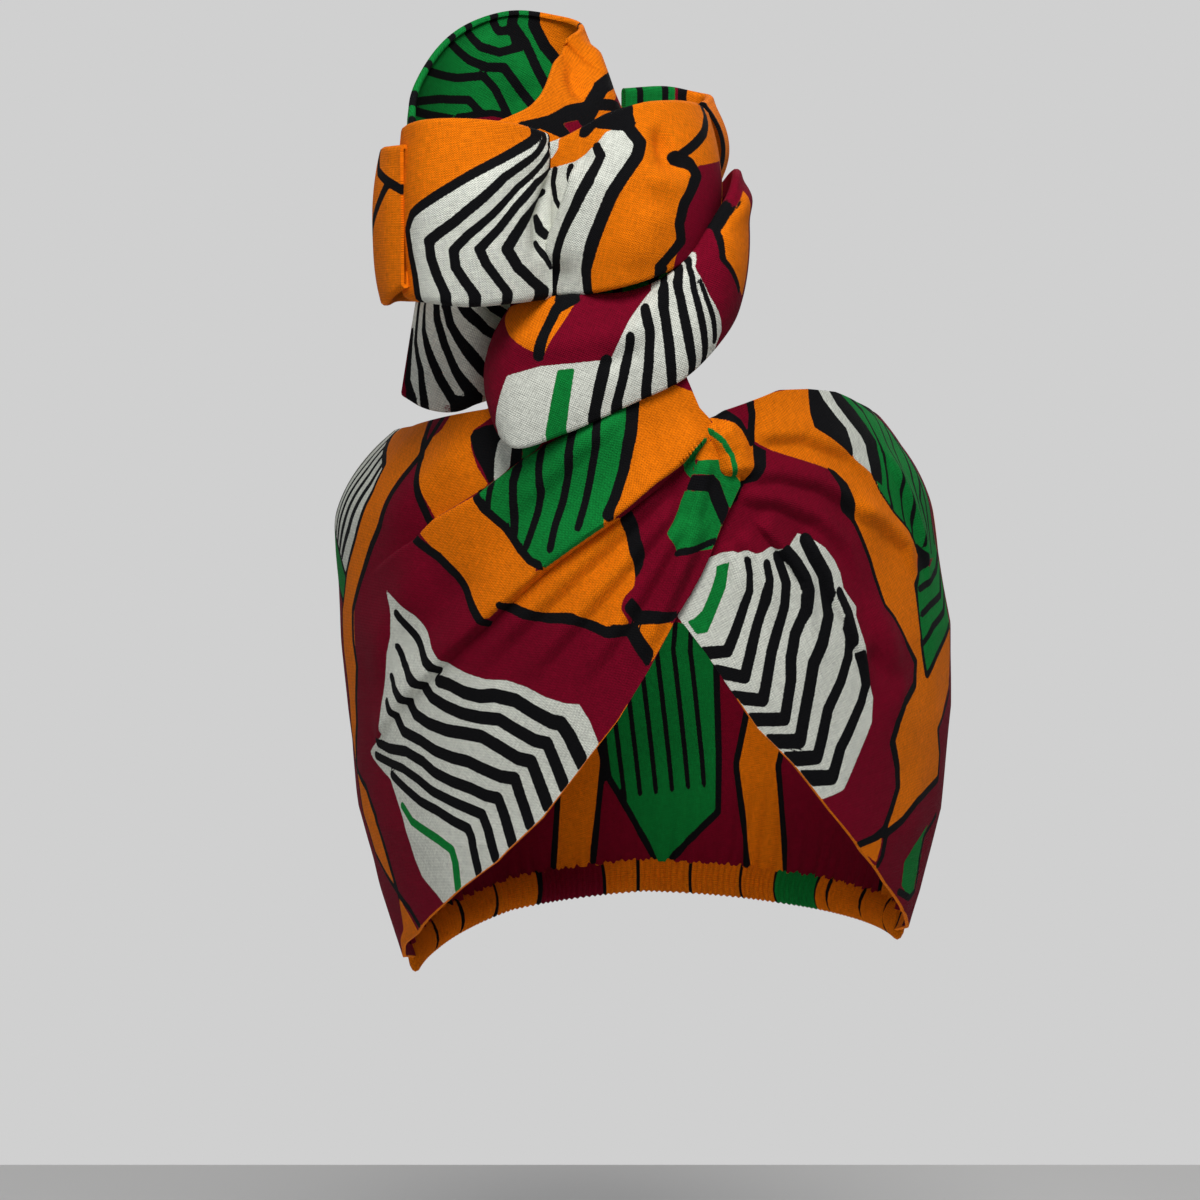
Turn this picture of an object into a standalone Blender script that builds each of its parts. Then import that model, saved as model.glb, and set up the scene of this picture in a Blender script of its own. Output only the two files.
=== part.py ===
"""Wired head wrap of printed cotton, as it sits on a head.

A wide band runs round the head. Its two front wings cross at a knot over the
forehead, where the cloth is twisted upward, wrapped round itself and coiled
into a standing rosette. A narrow shirred elastic closes the band at the nape.

Lengths are in millimetres and angles in degrees until `mesh_object` scales
them to metres. The origin is the centre of the head at the height of the
forehead, +Z is up and the face looks along -Y.
"""

import math

import bpy
import numpy as np
from mathutils import Vector

MM = 0.001
CLOTH = 1.6
GAP = 0.4
LAYER = CLOTH + GAP

# Reach of the band from the head's vertical axis, by height
REACH_COLUMNS = ("z", "left", "right", "front", "back")
REACH = (
    (-110, 66.0, 64.0, 84.0, 68.0),
    (-90, 72.5, 73.5, 88.0, 80.0),
    (-76, 76.5, 78.0, 91.0, 88.0),
    (-53, 82.5, 83.5, 95.5, 97.0),
    (-24, 85.6, 86.0, 99.5, 102.0),
    (0, 87.5, 85.6, 102.0, 104.0),
    (20, 88.5, 81.8, 103.5, 105.0),
    (50, 89.0, 77.5, 105.0, 104.0),
    (78, 89.0, 78.0, 107.0, 104.0),
)

# Edges of the band: the top edge leans in over the crown by the inset
EDGE_COLUMNS = ("angle", "low", "top", "inset")
LEFT_EDGE = (
    (-98, -101, 51, 17),
    (-84, -97, 53, 17),
    (-59, -83, 56, 14),
    (-44, -70, 59, 9),
    (-30, -57, 62, 4),
    (-20, -44, 69, 1),
    (-13, -31, 74, 0),
    (-6, -17, 77, 0),
    (-1, -4, 78, 0),
    (4, 9, 76, 0),
    (9, 20, 61, 0),
    (13, 28, 55, 0),
    (15.5, 39, 51, 0),
)
RIGHT_EDGE = (
    (2, 9, 52, 0),
    (5, 8, 55, 0),
    (9, 0, 59, 0),
    (13, -9, 62, 0),
    (18, -20, 64, 1),
    (25, -30, 67, 3),
    (33, -43, 67, 5),
    (42, -56, 66, 7),
    (52, -67, 63, 9),
    (64, -78, 60, 11),
    (80, -87, 57, 12),
    (94, -92, 55, 12),
)
BACK_EDGE = (
    (94.3, -86, 55, 12),
    (115, -86, 51, 10),
    (145, -86, 47, 8),
    (180, -85, 45, 8),
    (215, -88, 46, 8),
    (245, -94, 49, 13),
    (261.7, -97, 51, 17),
)

# Height over which the top edge rolls in, and the level step of one degree round the band
SHOULDER = 26.0
MM_PER_DEGREE = 1.66

# Angles over which the left wing climbs over the right one, and over which
# the right wing's folds start beside it
CROSSING = (-26.0, -4.0)
FREE_OF_CROSSING = (15.0, 21.0)

# Folds of the wings, from a start to an end on the band
FOLD_COLUMNS = ("from_angle", "from_z", "to_angle", "to_z", "height", "width")
LEFT_FOLDS = (
    (6, 52, -40, -5, 3.0, 6.0),
    (-40, -5, -58, -28, 1.8, 7.0),
    (-14, 52, -46, 24, 2.6, 6.0),
    (8, 40, -24, -14, 1.8, 7.0),
    (-16, 60, -66, 40, 2.0, 8.0),
)
RIGHT_FOLDS = (
    (15, 44, 44, 45, 2.4, 5.0),
    (15, 39, 66, 22, 2.8, 6.0),
    (15, 37, 43, -18, 3.2, 5.0),
    (15, 34, 30, -14, 1.8, 5.0),
    (14, 52, 32, 60, 2.2, 5.0),
)

# Share of a fold's length over which it rises and dies away, and how its width spreads
FOLD_RISE = (-0.12, 0.2)
FOLD_FALL = (0.7, 1.15)
FOLD_SPREAD = (0.6, 1.2)

# Shirred elastic at the nape
ELASTIC_HEIGHT = 9.0
ELASTIC_THICKNESS = 3.2
ELASTIC_RIPPLES = 30
ELASTIC_RIPPLE = 0.5

# Ribbons of the twist, as sections from left to right round the front
SECTION_COLUMNS = ("x", "y", "low", "high", "lean", "bow")
LOWER_WRAP = (
    (-42, -94, 63, 87, -1, 2),
    (-36, -107, 54, 88, -1, 3),
    (-22, -111, 58, 90, -2, 3),
    (-6, -110.4, 65, 91, -2, 3),
    (8, -110, 72, 98, -1, 3),
    (18, -101.5, 82, 112, 0, 3),
    (22, -88, 90, 122, 0, 2),
    (19, -74, 92, 118, -1, 2),
    (6, -65, 84, 104, -1, 2),
    (-12, -63, 76, 97, -1, 2),
    (-30, -68, 68, 90, -1, 2),
    (-40, -79, 65, 87, -1, 2),
)
TAIL_FLAP = (
    (-66, -66, 66, 90.4, -6, 0),
    (-60, -71, 63, 90.4, -3, 1),
    (-53, -73, 62, 90.4, 0, 1),
    (-46.5, -77, 64, 90.4, 0, 1),
)
COIL_FRONT = (
    (-62.5, -92, 94, 131, 0, 0),
    (-63, -104, 92, 132, 0, 1),
    (-57, -115, 91, 133, 0, 2),
    (-46, -118, 90, 133, 0, 3),
    (-34, -115, 91, 132, -1, 2),
    (-26, -108, 92, 130, -1, 0),
)
COIL_RIGHT = (
    (-34, -103, 93, 126, 0, 0),
    (-25, -105.4, 92, 128, 0, 1),
    (-14, -112, 93, 134, -3, 3),
    (-2, -113, 96, 137, -5, 4),
    (9, -106.5, 101, 138, -6, 4),
    (15, -94, 106, 138, -4, 3),
    (16, -80, 108, 137, -2, 2),
)
SIDE_LOOP = (
    (-5, -47, 104, 122, 0, 0),
    (-20, -39, 99, 124, 0, 2),
    (-37, -39, 95, 126, 0, 2),
    (-52, -47, 92, 127, 0, 2),
    (-62.5, -60, 91, 127, 0, 2),
    (-66.5, -75, 91, 126, 0, 2),
    (-67.5, -88, 91, 125, 0, 2),
    (-65.7, -99, 93, 122, 0, 1),
)
CROWN_LOOP = (
    (-42, -95, 109, 135, 0, 0),
    (-27, -90, 109, 139, -2, 1),
    (-15, -80, 109, 144, -4, 2),
    (-8, -67, 110, 149, -5, 3),
    (-12, -54, 112, 156, -3, 3),
    (-24, -46, 108, 167, 0, 2),
    (-39, -46, 106, 168, 1, 1),
    (-52, -55, 106, 157, 0, 1),
    (-59, -73, 106, 142, 0, 1),
    (-59.5, -89, 102, 131, 0, 0),
)
BACK_LOOP = (
    (16.5, -74, 122, 140, -3, 3),
    (17.5, -62, 121, 142, -2, 3),
    (13, -51, 112, 144, 2, 1),
    (4, -49, 106, 146, 1, 0),
    (-7.9, -54.6, 108, 145, 0, 0),
)

# Wrung cloth at the middle of the twist, as rings from the knot up
CORE_COLUMNS = ("z", "x", "y", "wide", "deep")
CORE = (
    (58, -10, -89, 18, 15.0),
    (72, -11, -87, 15, 13.5),
    (88, -14, -86, 17, 14.0),
    (108, -20, -84, 25, 18.0),
)
CORE_PLEATS = 7
CORE_PLEAT = 1.1
CORE_TWIST = 70.0

# Cells along and across each piece
CELLS = {
    "left_wing": (32, 13),
    "right_wing": (32, 13),
    "back_panel": (22, 8),
    "nape_elastic": (60, 6),
    "twist_core": (49, 7),
    "lower_wrap": (36, 6),
    "tail_flap": (9, 6),
    "coil_front": (20, 6),
    "coil_right": (22, 7),
    "side_loop": (24, 5),
    "crown_loop": (34, 8),
    "back_loop": (14, 6),
}
PLAN_STEP = 0.004

COLOURS = {
    "crimson": (0.27, 0.012, 0.06),
    "orange": (0.83, 0.25, 0.01),
    "green": (0.01, 0.25, 0.04),
    "white": (0.72, 0.72, 0.68),
}
COTTON_ROUGHNESS = 0.85


def column(table, columns, name):
    """One named column of a table as an array."""
    return np.array([row[columns.index(name)] for row in table], float)


def smooth(low, high, value):
    """Eased rise from 0 at `low` to 1 at `high`."""
    t = min(max((value - low) / (high - low), 0.0), 1.0)
    return t * t * (3 - 2 * t)


def along(values, t, closed=False):
    """Catmull-Rom curve through `values`, read at t from 0 to 1."""
    count = len(values)
    place = t * (count if closed else count - 1)
    i = min(int(place), count - 1 if closed else count - 2)
    f = place - i
    if closed:
        a, b, c, d = (values[(i + k) % count] for k in (-1, 0, 1, 2))
    else:
        b, c = values[i], values[i + 1]
        a = values[i - 1] if i else 2 * b - c
        d = values[i + 2] if i + 2 < count else 2 * c - b
    slope_b, slope_c = (c - a) / 2, (d - b) / 2
    rise = 3 * (c - b) - 2 * slope_b - slope_c
    return b + f * (slope_b + f * (rise + f * (2 * (b - c) + slope_b + slope_c)))


def band_point(angle, z, inset):
    """Point of the band's own surface, pulled in towards the head by `inset`."""
    turn = math.radians(angle)
    heights = column(REACH, REACH_COLUMNS, "z")
    side = "right" if math.sin(turn) > 0 else "left"
    end = "front" if math.cos(turn) > 0 else "back"
    wide = np.interp(z, heights, column(REACH, REACH_COLUMNS, side)) - inset
    deep = np.interp(z, heights, column(REACH, REACH_COLUMNS, end)) - inset
    return Vector((wide * math.sin(turn), -deep * math.cos(turn), z))


def band_outward(angle):
    """Level direction away from the head at `angle`."""
    turn = math.radians(angle)
    return Vector((math.sin(turn), -math.cos(turn), 0))


def fold_relief(folds, angle, z):
    """Height of the folds at one place of the band."""
    relief = 0.0
    for from_angle, from_z, to_angle, to_z, height, width in folds:
        run = np.array(((to_angle - from_angle) * MM_PER_DEGREE, to_z - from_z))
        place = np.array(((angle - from_angle) * MM_PER_DEGREE, z - from_z))
        length = np.hypot(*run)
        t = place @ run / length**2
        off = (place[0] * run[1] - place[1] * run[0]) / length
        spread = width * np.interp(t, (0, 1), FOLD_SPREAD)
        fade = smooth(*FOLD_RISE, t) * (1 - smooth(*FOLD_FALL, t))
        relief += height * fade * math.exp(-((off / spread) ** 2))
    return relief


def band_sheet(edge, folds, layer, relief_share):
    """Surface function of a stretch of the band between its two edges."""
    angles = column(edge, EDGE_COLUMNS, "angle")
    first, last = angles[0], angles[-1]

    def place(u, v):
        angle = first + (last - first) * u
        low, top, inset = (
            np.interp(angle, angles, column(edge, EDGE_COLUMNS, name)) for name in ("low", "top", "inset")
        )
        z = low + (top - low) * v
        lean = inset * max(0.0, 1 - (top - z) / SHOULDER) ** 2
        out = layer(angle) + relief_share(angle) * fold_relief(folds, angle, z)
        return band_point(angle, z, lean) + band_outward(angle) * out

    return place


def ribbon_sheet(sections, closed=False):
    """Surface function of a ribbon that stands on a plan curve."""
    columns = {name: column(sections, SECTION_COLUMNS, name) for name in SECTION_COLUMNS}

    def plan(t):
        return np.array([along(columns[name], t, closed) for name in ("x", "y")])

    def place(u, v):
        if closed:
            before, after = (u - PLAN_STEP) % 1, (u + PLAN_STEP) % 1
        else:
            before, after = max(u - PLAN_STEP, 0), min(u + PLAN_STEP, 1)
        run = plan(after) - plan(before)
        away = np.array((run[1], -run[0])) / np.hypot(*run)
        low, high, lean, bow = (along(columns[name], u, closed) for name in ("low", "high", "lean", "bow"))
        x, y = plan(u) + away * (lean * v + 4 * bow * v * (1 - v))
        return Vector((x, y, low + (high - low) * v))

    return place


def material(name, colour):
    """Matt cotton of one colour."""
    made = bpy.data.materials.new(name)
    made.use_nodes = True
    shader = made.node_tree.nodes["Principled BSDF"]
    shader.inputs["Base Color"].default_value = (*colour, 1)
    shader.inputs["Roughness"].default_value = COTTON_ROUGHNESS
    shader.inputs["Metallic"].default_value = 0
    made.diffuse_color = (*colour, 1)
    return made


def mesh_object(name, points, faces, colour):
    """Object in the scene from points in millimetres."""
    mesh = bpy.data.meshes.new(name)
    mesh.from_pydata([Vector(point) * MM for point in points], [], faces)
    mesh.shade_smooth()
    made = bpy.data.objects.new(name, mesh)
    bpy.context.scene.collection.objects.link(made)
    made.data.materials.append(material(name, COLOURS[colour]))
    return made


def grid_faces(along_count, across_count, closed):
    """Quads of a grid of points, stored column by column."""
    faces = []
    columns = along_count if closed else along_count - 1
    for i in range(columns):
        here, there = i * across_count, (i + 1) % along_count * across_count
        for j in range(across_count - 1):
            faces.append((here + j, there + j, there + j + 1, here + j + 1))
    return faces


def cloth(name, place, colour, closed=False):
    """Piece of cloth one wall thick, draped on a surface function."""
    long_cells, cross_cells = CELLS[name]
    across = cross_cells + 1
    steps = long_cells if closed else long_cells + 1
    points = [place(i / long_cells, j / cross_cells) for i in range(steps) for j in range(across)]
    made = mesh_object(name, points, grid_faces(steps, across, closed), colour)
    wall = made.modifiers.new("wall", "SOLIDIFY")
    wall.thickness = CLOTH * MM
    wall.offset = 0
    return made


def wings():
    """The two crossing front wings."""
    cloth(
        "left_wing",
        band_sheet(LEFT_EDGE, LEFT_FOLDS, lambda angle: LAYER * smooth(*CROSSING, angle), lambda angle: 1),
        "crimson",
    )
    cloth(
        "right_wing",
        band_sheet(RIGHT_EDGE, RIGHT_FOLDS, lambda angle: 0, lambda angle: smooth(*FREE_OF_CROSSING, angle)),
        "crimson",
    )


def back():
    """Plain back of the band and the shirred elastic under it."""
    cloth("back_panel", band_sheet(BACK_EDGE, (), lambda angle: 0, lambda angle: 0), "orange")
    angles = column(BACK_EDGE, EDGE_COLUMNS, "angle")
    lows = column(BACK_EDGE, EDGE_COLUMNS, "low")
    cells, sides = CELLS["nape_elastic"]
    points = []
    for i in range(cells + 1):
        angle = angles[0] + (angles[-1] - angles[0]) * i / cells
        ripple = ELASTIC_RIPPLE * math.cos(2 * math.pi * ELASTIC_RIPPLES * i / cells)
        high = np.interp(angle, angles, lows) - GAP
        middle = band_point(angle, high - ELASTIC_HEIGHT / 2, 0)
        for k in range(sides):
            turn = 2 * math.pi * k / sides
            rise = math.cos(turn) * ELASTIC_HEIGHT / 2
            swell = math.sin(turn) * (ELASTIC_THICKNESS / 2 + ripple)
            points.append(middle + Vector((0, 0, rise)) + band_outward(angle) * swell)
    faces = []
    for i in range(cells):
        here, there = i * sides, (i + 1) * sides
        for k in range(sides):
            after = (k + 1) % sides
            faces.append((here + k, here + after, there + after, there + k))
    faces.append(tuple(reversed(range(sides))))
    faces.append(tuple(cells * sides + k for k in range(sides)))
    mesh_object("nape_elastic", points, faces, "orange")


def core_place(u, v):
    """Pleated upright tube at the middle of the twist."""
    turn = 2 * math.pi * u
    z, x, y, wide, deep = (along(column(CORE, CORE_COLUMNS, name), v) for name in CORE_COLUMNS)
    pleat = CORE_PLEAT * math.cos(CORE_PLEATS * (turn + math.radians(CORE_TWIST) * v))
    return Vector((x + (wide - pleat) * math.cos(turn), y + (deep - pleat) * math.sin(turn), z))


def twist():
    """Upright twist, the ribbon round it and the rosette on top."""
    cloth("twist_core", core_place, "green", closed=True)
    cloth("lower_wrap", ribbon_sheet(LOWER_WRAP, closed=True), "white", closed=True)
    cloth("tail_flap", ribbon_sheet(TAIL_FLAP), "white")
    cloth("coil_front", ribbon_sheet(COIL_FRONT), "orange")
    cloth("coil_right", ribbon_sheet(COIL_RIGHT), "orange")
    cloth("side_loop", ribbon_sheet(SIDE_LOOP), "crimson")
    cloth("crown_loop", ribbon_sheet(CROWN_LOOP), "green")
    cloth("back_loop", ribbon_sheet(BACK_LOOP), "orange")


def main():
    for old in list(bpy.data.objects):
        bpy.data.objects.remove(old)
    wings()
    back()
    twist()


main()
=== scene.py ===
"""Wired head wrap of printed cotton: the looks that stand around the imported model.

Every piece of cloth is a fine grid laid on a surface function and given a wall. The
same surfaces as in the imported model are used, with pleats, gathers and rolled edges
added. Lengths are in millimetres and angles in degrees until `ClothPiece.build`
scales them to metres.

The print is drawn as outlines. An outline is given in pixels of the 1200 by 1200
picture, where the camera sees the cloth, or in millimetres on the flat cloth. Each
outline becomes a signed distance at every point of the cloth, which the material
reads, so that the colours end in clean edges.
"""

import logging
import math
from collections.abc import Callable, Sequence
from dataclasses import dataclass
from enum import Enum

import bpy
import numpy as np
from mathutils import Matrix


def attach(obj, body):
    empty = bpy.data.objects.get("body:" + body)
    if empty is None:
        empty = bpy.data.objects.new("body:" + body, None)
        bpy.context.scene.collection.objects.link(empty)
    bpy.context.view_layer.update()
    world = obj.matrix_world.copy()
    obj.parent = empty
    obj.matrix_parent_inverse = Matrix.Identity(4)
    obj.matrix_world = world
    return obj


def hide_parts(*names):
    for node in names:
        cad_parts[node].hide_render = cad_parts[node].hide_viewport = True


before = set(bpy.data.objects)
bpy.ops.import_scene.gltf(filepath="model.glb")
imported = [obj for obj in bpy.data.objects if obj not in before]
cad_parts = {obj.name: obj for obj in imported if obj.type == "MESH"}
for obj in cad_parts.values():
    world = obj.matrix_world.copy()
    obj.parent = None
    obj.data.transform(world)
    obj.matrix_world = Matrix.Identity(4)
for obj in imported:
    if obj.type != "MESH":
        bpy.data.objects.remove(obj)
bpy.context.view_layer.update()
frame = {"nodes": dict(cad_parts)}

Array = np.ndarray
Points = tuple[tuple[float, float], ...]
Rows = tuple[tuple[float, ...], ...]
Colour = tuple[float, float, float, float]
Place = tuple[float, float, float]

MM = 0.001
TINY = 1e-9
BODY = "root"
log = logging.getLogger("head_wrap")


# The view that the picture was taken from


@dataclass(frozen=True)
class View:
    """Camera level with the picture: aim in millimetres, tilt in degrees, focal length in pixels."""

    aim: tuple[float, float, float] = (-13.8, 0.0, 5.0)
    tilt: float = 5.0
    distance: float = 900.0
    focal: float = 3136.0
    frame: float = 1200.0
    sensor: float = 36.0

    def place(self) -> Array:
        """Camera position in millimetres."""
        turn = math.radians(self.tilt)
        return np.array(self.aim) + self.distance * np.array((0.0, -math.cos(turn), math.sin(turn)))

    def pixels(self, points: Array) -> tuple[Array, Array, Array]:
        """Where points in space show in the picture.

        Args:
            points: Positions in millimetres, on the last axis.

        Returns:
            Pixel columns, pixel rows and depths.
        """
        turn = math.radians(self.tilt)
        off = points - np.array(self.aim)
        depth = self.distance + off[..., 1] * math.cos(turn) - off[..., 2] * math.sin(turn)
        up = off[..., 1] * math.sin(turn) + off[..., 2] * math.cos(turn)
        middle = self.frame / 2
        return middle + self.focal * off[..., 0] / depth, middle - self.focal * up / depth, depth


VIEW = View()


# Small maths on arrays


def smooth(low: float, high: float, value: Array) -> Array:
    """Eased rise from 0 at `low` to 1 at `high`."""
    t = np.clip((value - low) / (high - low), 0.0, 1.0)
    return t * t * (3 - 2 * t)


def along(values: Array, t: Array, closed: bool = False) -> Array:
    """Catmull-Rom curve through evenly spaced values.

    Args:
        values: The values passed through.
        t: Places from 0 to 1.
        closed: Whether the last value runs on into the first.

    Returns:
        The curve at each place.
    """
    count = len(values)
    cells = count if closed else count - 1
    place = np.asarray(t, float) * cells
    i = np.clip(np.floor(place).astype(int), 0, cells - 1)
    f = place - i
    if closed:
        a, b, c, d = (values[(i + k) % count] for k in (-1, 0, 1, 2))
    else:
        padded = np.concatenate(([2 * values[0] - values[1]], values, [2 * values[-1] - values[-2]]))
        a, b, c, d = (padded[i + k] for k in (0, 1, 2, 3))
    slope_b, slope_c = (c - a) / 2, (d - b) / 2
    rise = 3 * (c - b) - 2 * slope_b - slope_c
    return b + f * (slope_b + f * (rise + f * (2 * (b - c) + slope_b + slope_c)))


def unit(vectors: Array) -> Array:
    """The same directions at length 1."""
    return vectors / np.maximum(np.linalg.norm(vectors, axis=-1, keepdims=True), TINY)


def run_distance(places: Array, run: Array) -> tuple[Array, Array]:
    """How far flat places lie from a run of straight stretches.

    Args:
        places: Flat places, n by 2.
        run: Points of the run, m by 2.

    Returns:
        Signed distance, positive on the left of the run, and the share of the run's length,
        which goes on below 0 and above 1 past its two ends.
    """
    steps = run[1:] - run[:-1]
    lengths = np.maximum(np.linalg.norm(steps, axis=1), 1e-6)
    starts = np.concatenate(([0.0], np.cumsum(lengths)))
    best = np.full(len(places), np.inf)
    signed = np.zeros(len(places))
    share = np.zeros(len(places))
    for k, (start, step, length) in enumerate(zip(run[:-1], steps, lengths)):
        off = places - start
        t = (off @ step) / length**2
        held = np.clip(t, 0.0, 1.0)
        reach = np.linalg.norm(off - held[:, None] * step, axis=1)
        side = step[0] * off[:, 1] - step[1] * off[:, 0]
        nearer = reach < best
        best = np.where(nearer, reach, best)
        signed = np.where(nearer, np.where(side >= 0, reach, -reach), signed)
        past_start = (k == 0) & (t < 0)
        past_end = (k == len(steps) - 1) & (t > 1)
        free = np.where(past_start | past_end, t, held)
        share = np.where(nearer, (starts[k] + free * length) / starts[-1], share)
    return signed, share


def outline_distance(places: Array, outline: Array) -> Array:
    """How far flat places lie from a closed outline.

    Args:
        places: Flat places, n by 2.
        outline: Corners of the outline, m by 2.

    Returns:
        Distance, positive inside.
    """
    best = np.full(len(places), np.inf)
    inside = np.zeros(len(places), bool)
    for start, end in zip(outline, np.roll(outline, -1, axis=0)):
        step = end - start
        off = places - start
        held = np.clip((off @ step) / max(step @ step, TINY), 0.0, 1.0)
        best = np.minimum(best, np.linalg.norm(off - held[:, None] * step, axis=1))
        spans = (start[1] > places[:, 1]) != (end[1] > places[:, 1])
        rise = end[1] - start[1]
        crossing = start[0] + (places[:, 1] - start[1]) * step[0] / (rise if abs(rise) > TINY else TINY)
        inside ^= spans & (places[:, 0] < crossing)
    return np.where(inside, best, -best)


# The print


class Dye(Enum):
    """Colours of the print. The ground is crimson, where nothing else is printed."""

    CRIMSON = "crimson"
    ORANGE = "orange"
    WHITE = "white"
    GREEN = "green"
    INK = "ink"


PRINTED = (Dye.ORANGE, Dye.WHITE, Dye.GREEN, Dye.INK)


class On(Enum):
    """What the numbers of an outline count: pixels of the picture, or millimetres on the cloth."""

    PICTURE = "picture"
    CLOTH = "cloth"


@dataclass(frozen=True)
class Patch:
    """One closed area of colour, with an ink line round it where `edge` is above 0 (mm).

    `stretch` is the share of the piece's length that its pixels are looked for in.
    """

    dye: Dye
    outline: Points
    edge: float = 0.0
    on: On = On.PICTURE
    stretch: tuple[float, float] = (0.0, 1.0)


@dataclass(frozen=True)
class Line:
    """One ink line of `width` mm, which may end thinner or wider."""

    run: Points
    width: float
    end: float | None = None
    dye: Dye = Dye.INK
    on: On = On.PICTURE
    stretch: tuple[float, float] = (0.0, 1.0)


Motif = Patch | Line


class Chart:
    """Finds the place on the flat cloth that shows at a pixel of the picture.

    Every `THIN`th point of the cloth is tried. Among those within `NEAR` pixels of the
    best, the one closest to the camera is taken, then moved by up to `MOST_STEP` cells.
    """

    THIN = 2
    NEAR = 3.0
    MOST_STEP = 3.0
    CUTOFF = 0.05

    def __init__(self, points: Array, flat: Array, shown: tuple[float, float]) -> None:
        """Reads where each point of the cloth shows.

        Args:
            points: Positions in millimetres, rows by columns by 3.
            flat: Flat places in millimetres, rows by columns by 2.
            shown: Share of the length that the camera sees.
        """
        self.in_view = shown
        px, py, depth = VIEW.pixels(points)
        self.shown = np.stack((px, py), axis=-1)
        self.depth = depth
        self.flat = flat
        self.share = np.broadcast_to(np.linspace(0, 1, points.shape[1]), px.shape)

    def cloth(self, pixels: Sequence[tuple[float, float]], stretch: tuple[float, float]) -> Array:
        """Flat places of some pixels.

        Args:
            pixels: Pixel pairs.
            stretch: Share of the piece's length in which they are looked for.

        Returns:
            Flat places in millimetres, n by 2.
        """
        rows, columns = self.depth.shape
        found = []
        low, high = max(stretch[0], self.in_view[0]), min(stretch[1], self.in_view[1])
        allowed = (self.share >= low) & (self.share <= high)
        thin = np.zeros_like(allowed)
        thin[:: self.THIN, :: self.THIN] = True
        rows_at, columns_at = np.nonzero(allowed & thin)
        shown, depth = self.shown[rows_at, columns_at], self.depth[rows_at, columns_at]
        for pixel in pixels:
            far = np.linalg.norm(shown - pixel, axis=1)
            close = far < far.min() + self.NEAR
            pick = np.flatnonzero(close)[np.argmin(depth[close] + far[close])]
            i = min(max(rows_at[pick], 1), rows - 2)
            j = min(max(columns_at[pick], 1), columns - 2)
            by_row = (self.shown[i + 1, j] - self.shown[i - 1, j]) / 2
            by_column = (self.shown[i, j + 1] - self.shown[i, j - 1]) / 2
            turn = np.stack((by_row, by_column), axis=1)
            step = np.linalg.lstsq(turn, np.array(pixel) - self.shown[i, j], rcond=self.CUTOFF)[0]
            step = np.clip(step, -self.MOST_STEP, self.MOST_STEP)
            flat_row = (self.flat[i + 1, j] - self.flat[i - 1, j]) / 2
            flat_column = (self.flat[i, j + 1] - self.flat[i, j - 1]) / 2
            found.append(self.flat[i, j] + step[0] * flat_row + step[1] * flat_column)
        return np.array(found)

    def read(self, motif: "Patch | Line | Fold", numbers: Points) -> Array:
        """Flat places of a motif's own numbers, whatever they count.

        Args:
            motif: The patch, line or fold.
            numbers: Its outline or run.

        Returns:
            Flat places in millimetres, n by 2.
        """
        if motif.on is On.CLOTH:
            return np.array(numbers, float)
        return self.cloth(numbers, motif.stretch)


class Fields:
    """Signed distances of each dye on one piece, in millimetres and positive inside.

    They are kept up to `REACH`. A later dye covers the earlier ones, which go on under it
    by `BLEED`, so that no ground shows between two colours.
    """

    REACH = 2.5
    BLEED = 0.5

    def __init__(self, flat: Array) -> None:
        """Starts with bare ground at the flat places given, n by 2."""
        self.flat = flat
        self.values = {dye: np.full(len(flat), -self.REACH) for dye in PRINTED}

    def near(self, outline: Array, margin: float) -> Array:
        """Numbers of the places that an outline can change.

        Args:
            outline: Its points, m by 2.
            margin: How far past them it reaches, in mm.

        Returns:
            Numbers of the places.
        """
        low, high = outline.min(0) - margin, outline.max(0) + margin
        return np.flatnonzero(((self.flat >= low) & (self.flat <= high)).all(1))

    def lay(self, dye: Dye, at: Array, inside: Array) -> None:
        """Prints one dye over what is there.

        Args:
            dye: The colour printed.
            at: Numbers of the places changed.
            inside: Signed distances there.
        """
        inside = np.clip(inside, -self.REACH, self.REACH)
        later = PRINTED[PRINTED.index(dye) + 1 :] if dye in PRINTED else PRINTED
        covered = np.zeros(len(at), bool)
        for other in later:
            held = self.values[other][at]
            covered |= held > 0
            self.values[other][at] = np.minimum(held, -inside)
        if dye in PRINTED:
            under = inside + self.BLEED * covered
            self.values[dye][at] = np.maximum(self.values[dye][at], under)

    def patch(self, dye: Dye, outline: Array, edge: float) -> None:
        """Prints an area, then the ink line round it.

        Args:
            dye: Its colour.
            outline: Its corners on the flat cloth.
            edge: Width of the ink line in mm, or 0.
        """
        at = self.near(outline, self.REACH)
        inside = outline_distance(self.flat[at], outline)
        self.lay(dye, at, inside)
        if edge > 0:
            self.lay(Dye.INK, at, edge / 2 - np.abs(inside))

    def line(self, dye: Dye, run: Array, width: float, end: float) -> None:
        """Prints a line whose width changes evenly from its start to its end.

        Args:
            dye: Its colour.
            run: Its points on the flat cloth.
            width: Its width at the start in mm.
            end: Its width at the end in mm.
        """
        at = self.near(run, self.REACH + max(width, end))
        off, share = run_distance(self.flat[at], run)
        self.lay(dye, at, (width + (end - width) * np.clip(share, 0, 1)) / 2 - np.abs(off))

    def draw(self, motifs: Sequence[Motif], chart: Chart) -> None:
        """Prints motifs in their order, the later ones on top.

        Args:
            motifs: The patches and lines.
            chart: Finds where their pixels lie on the cloth.
        """
        for motif in motifs:
            if isinstance(motif, Patch):
                self.patch(motif.dye, chart.read(motif, motif.outline), motif.edge)
            else:
                end = motif.width if motif.end is None else motif.end
                self.line(motif.dye, chart.read(motif, motif.run), motif.width, end)


# Folds of the cloth


class Shape(Enum):
    """A fold's section; the upper layer of a pleat lies left of its run."""

    RIDGE = "ridge"
    PLEAT = "pleat"
    SOFT = "soft pleat"


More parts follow.
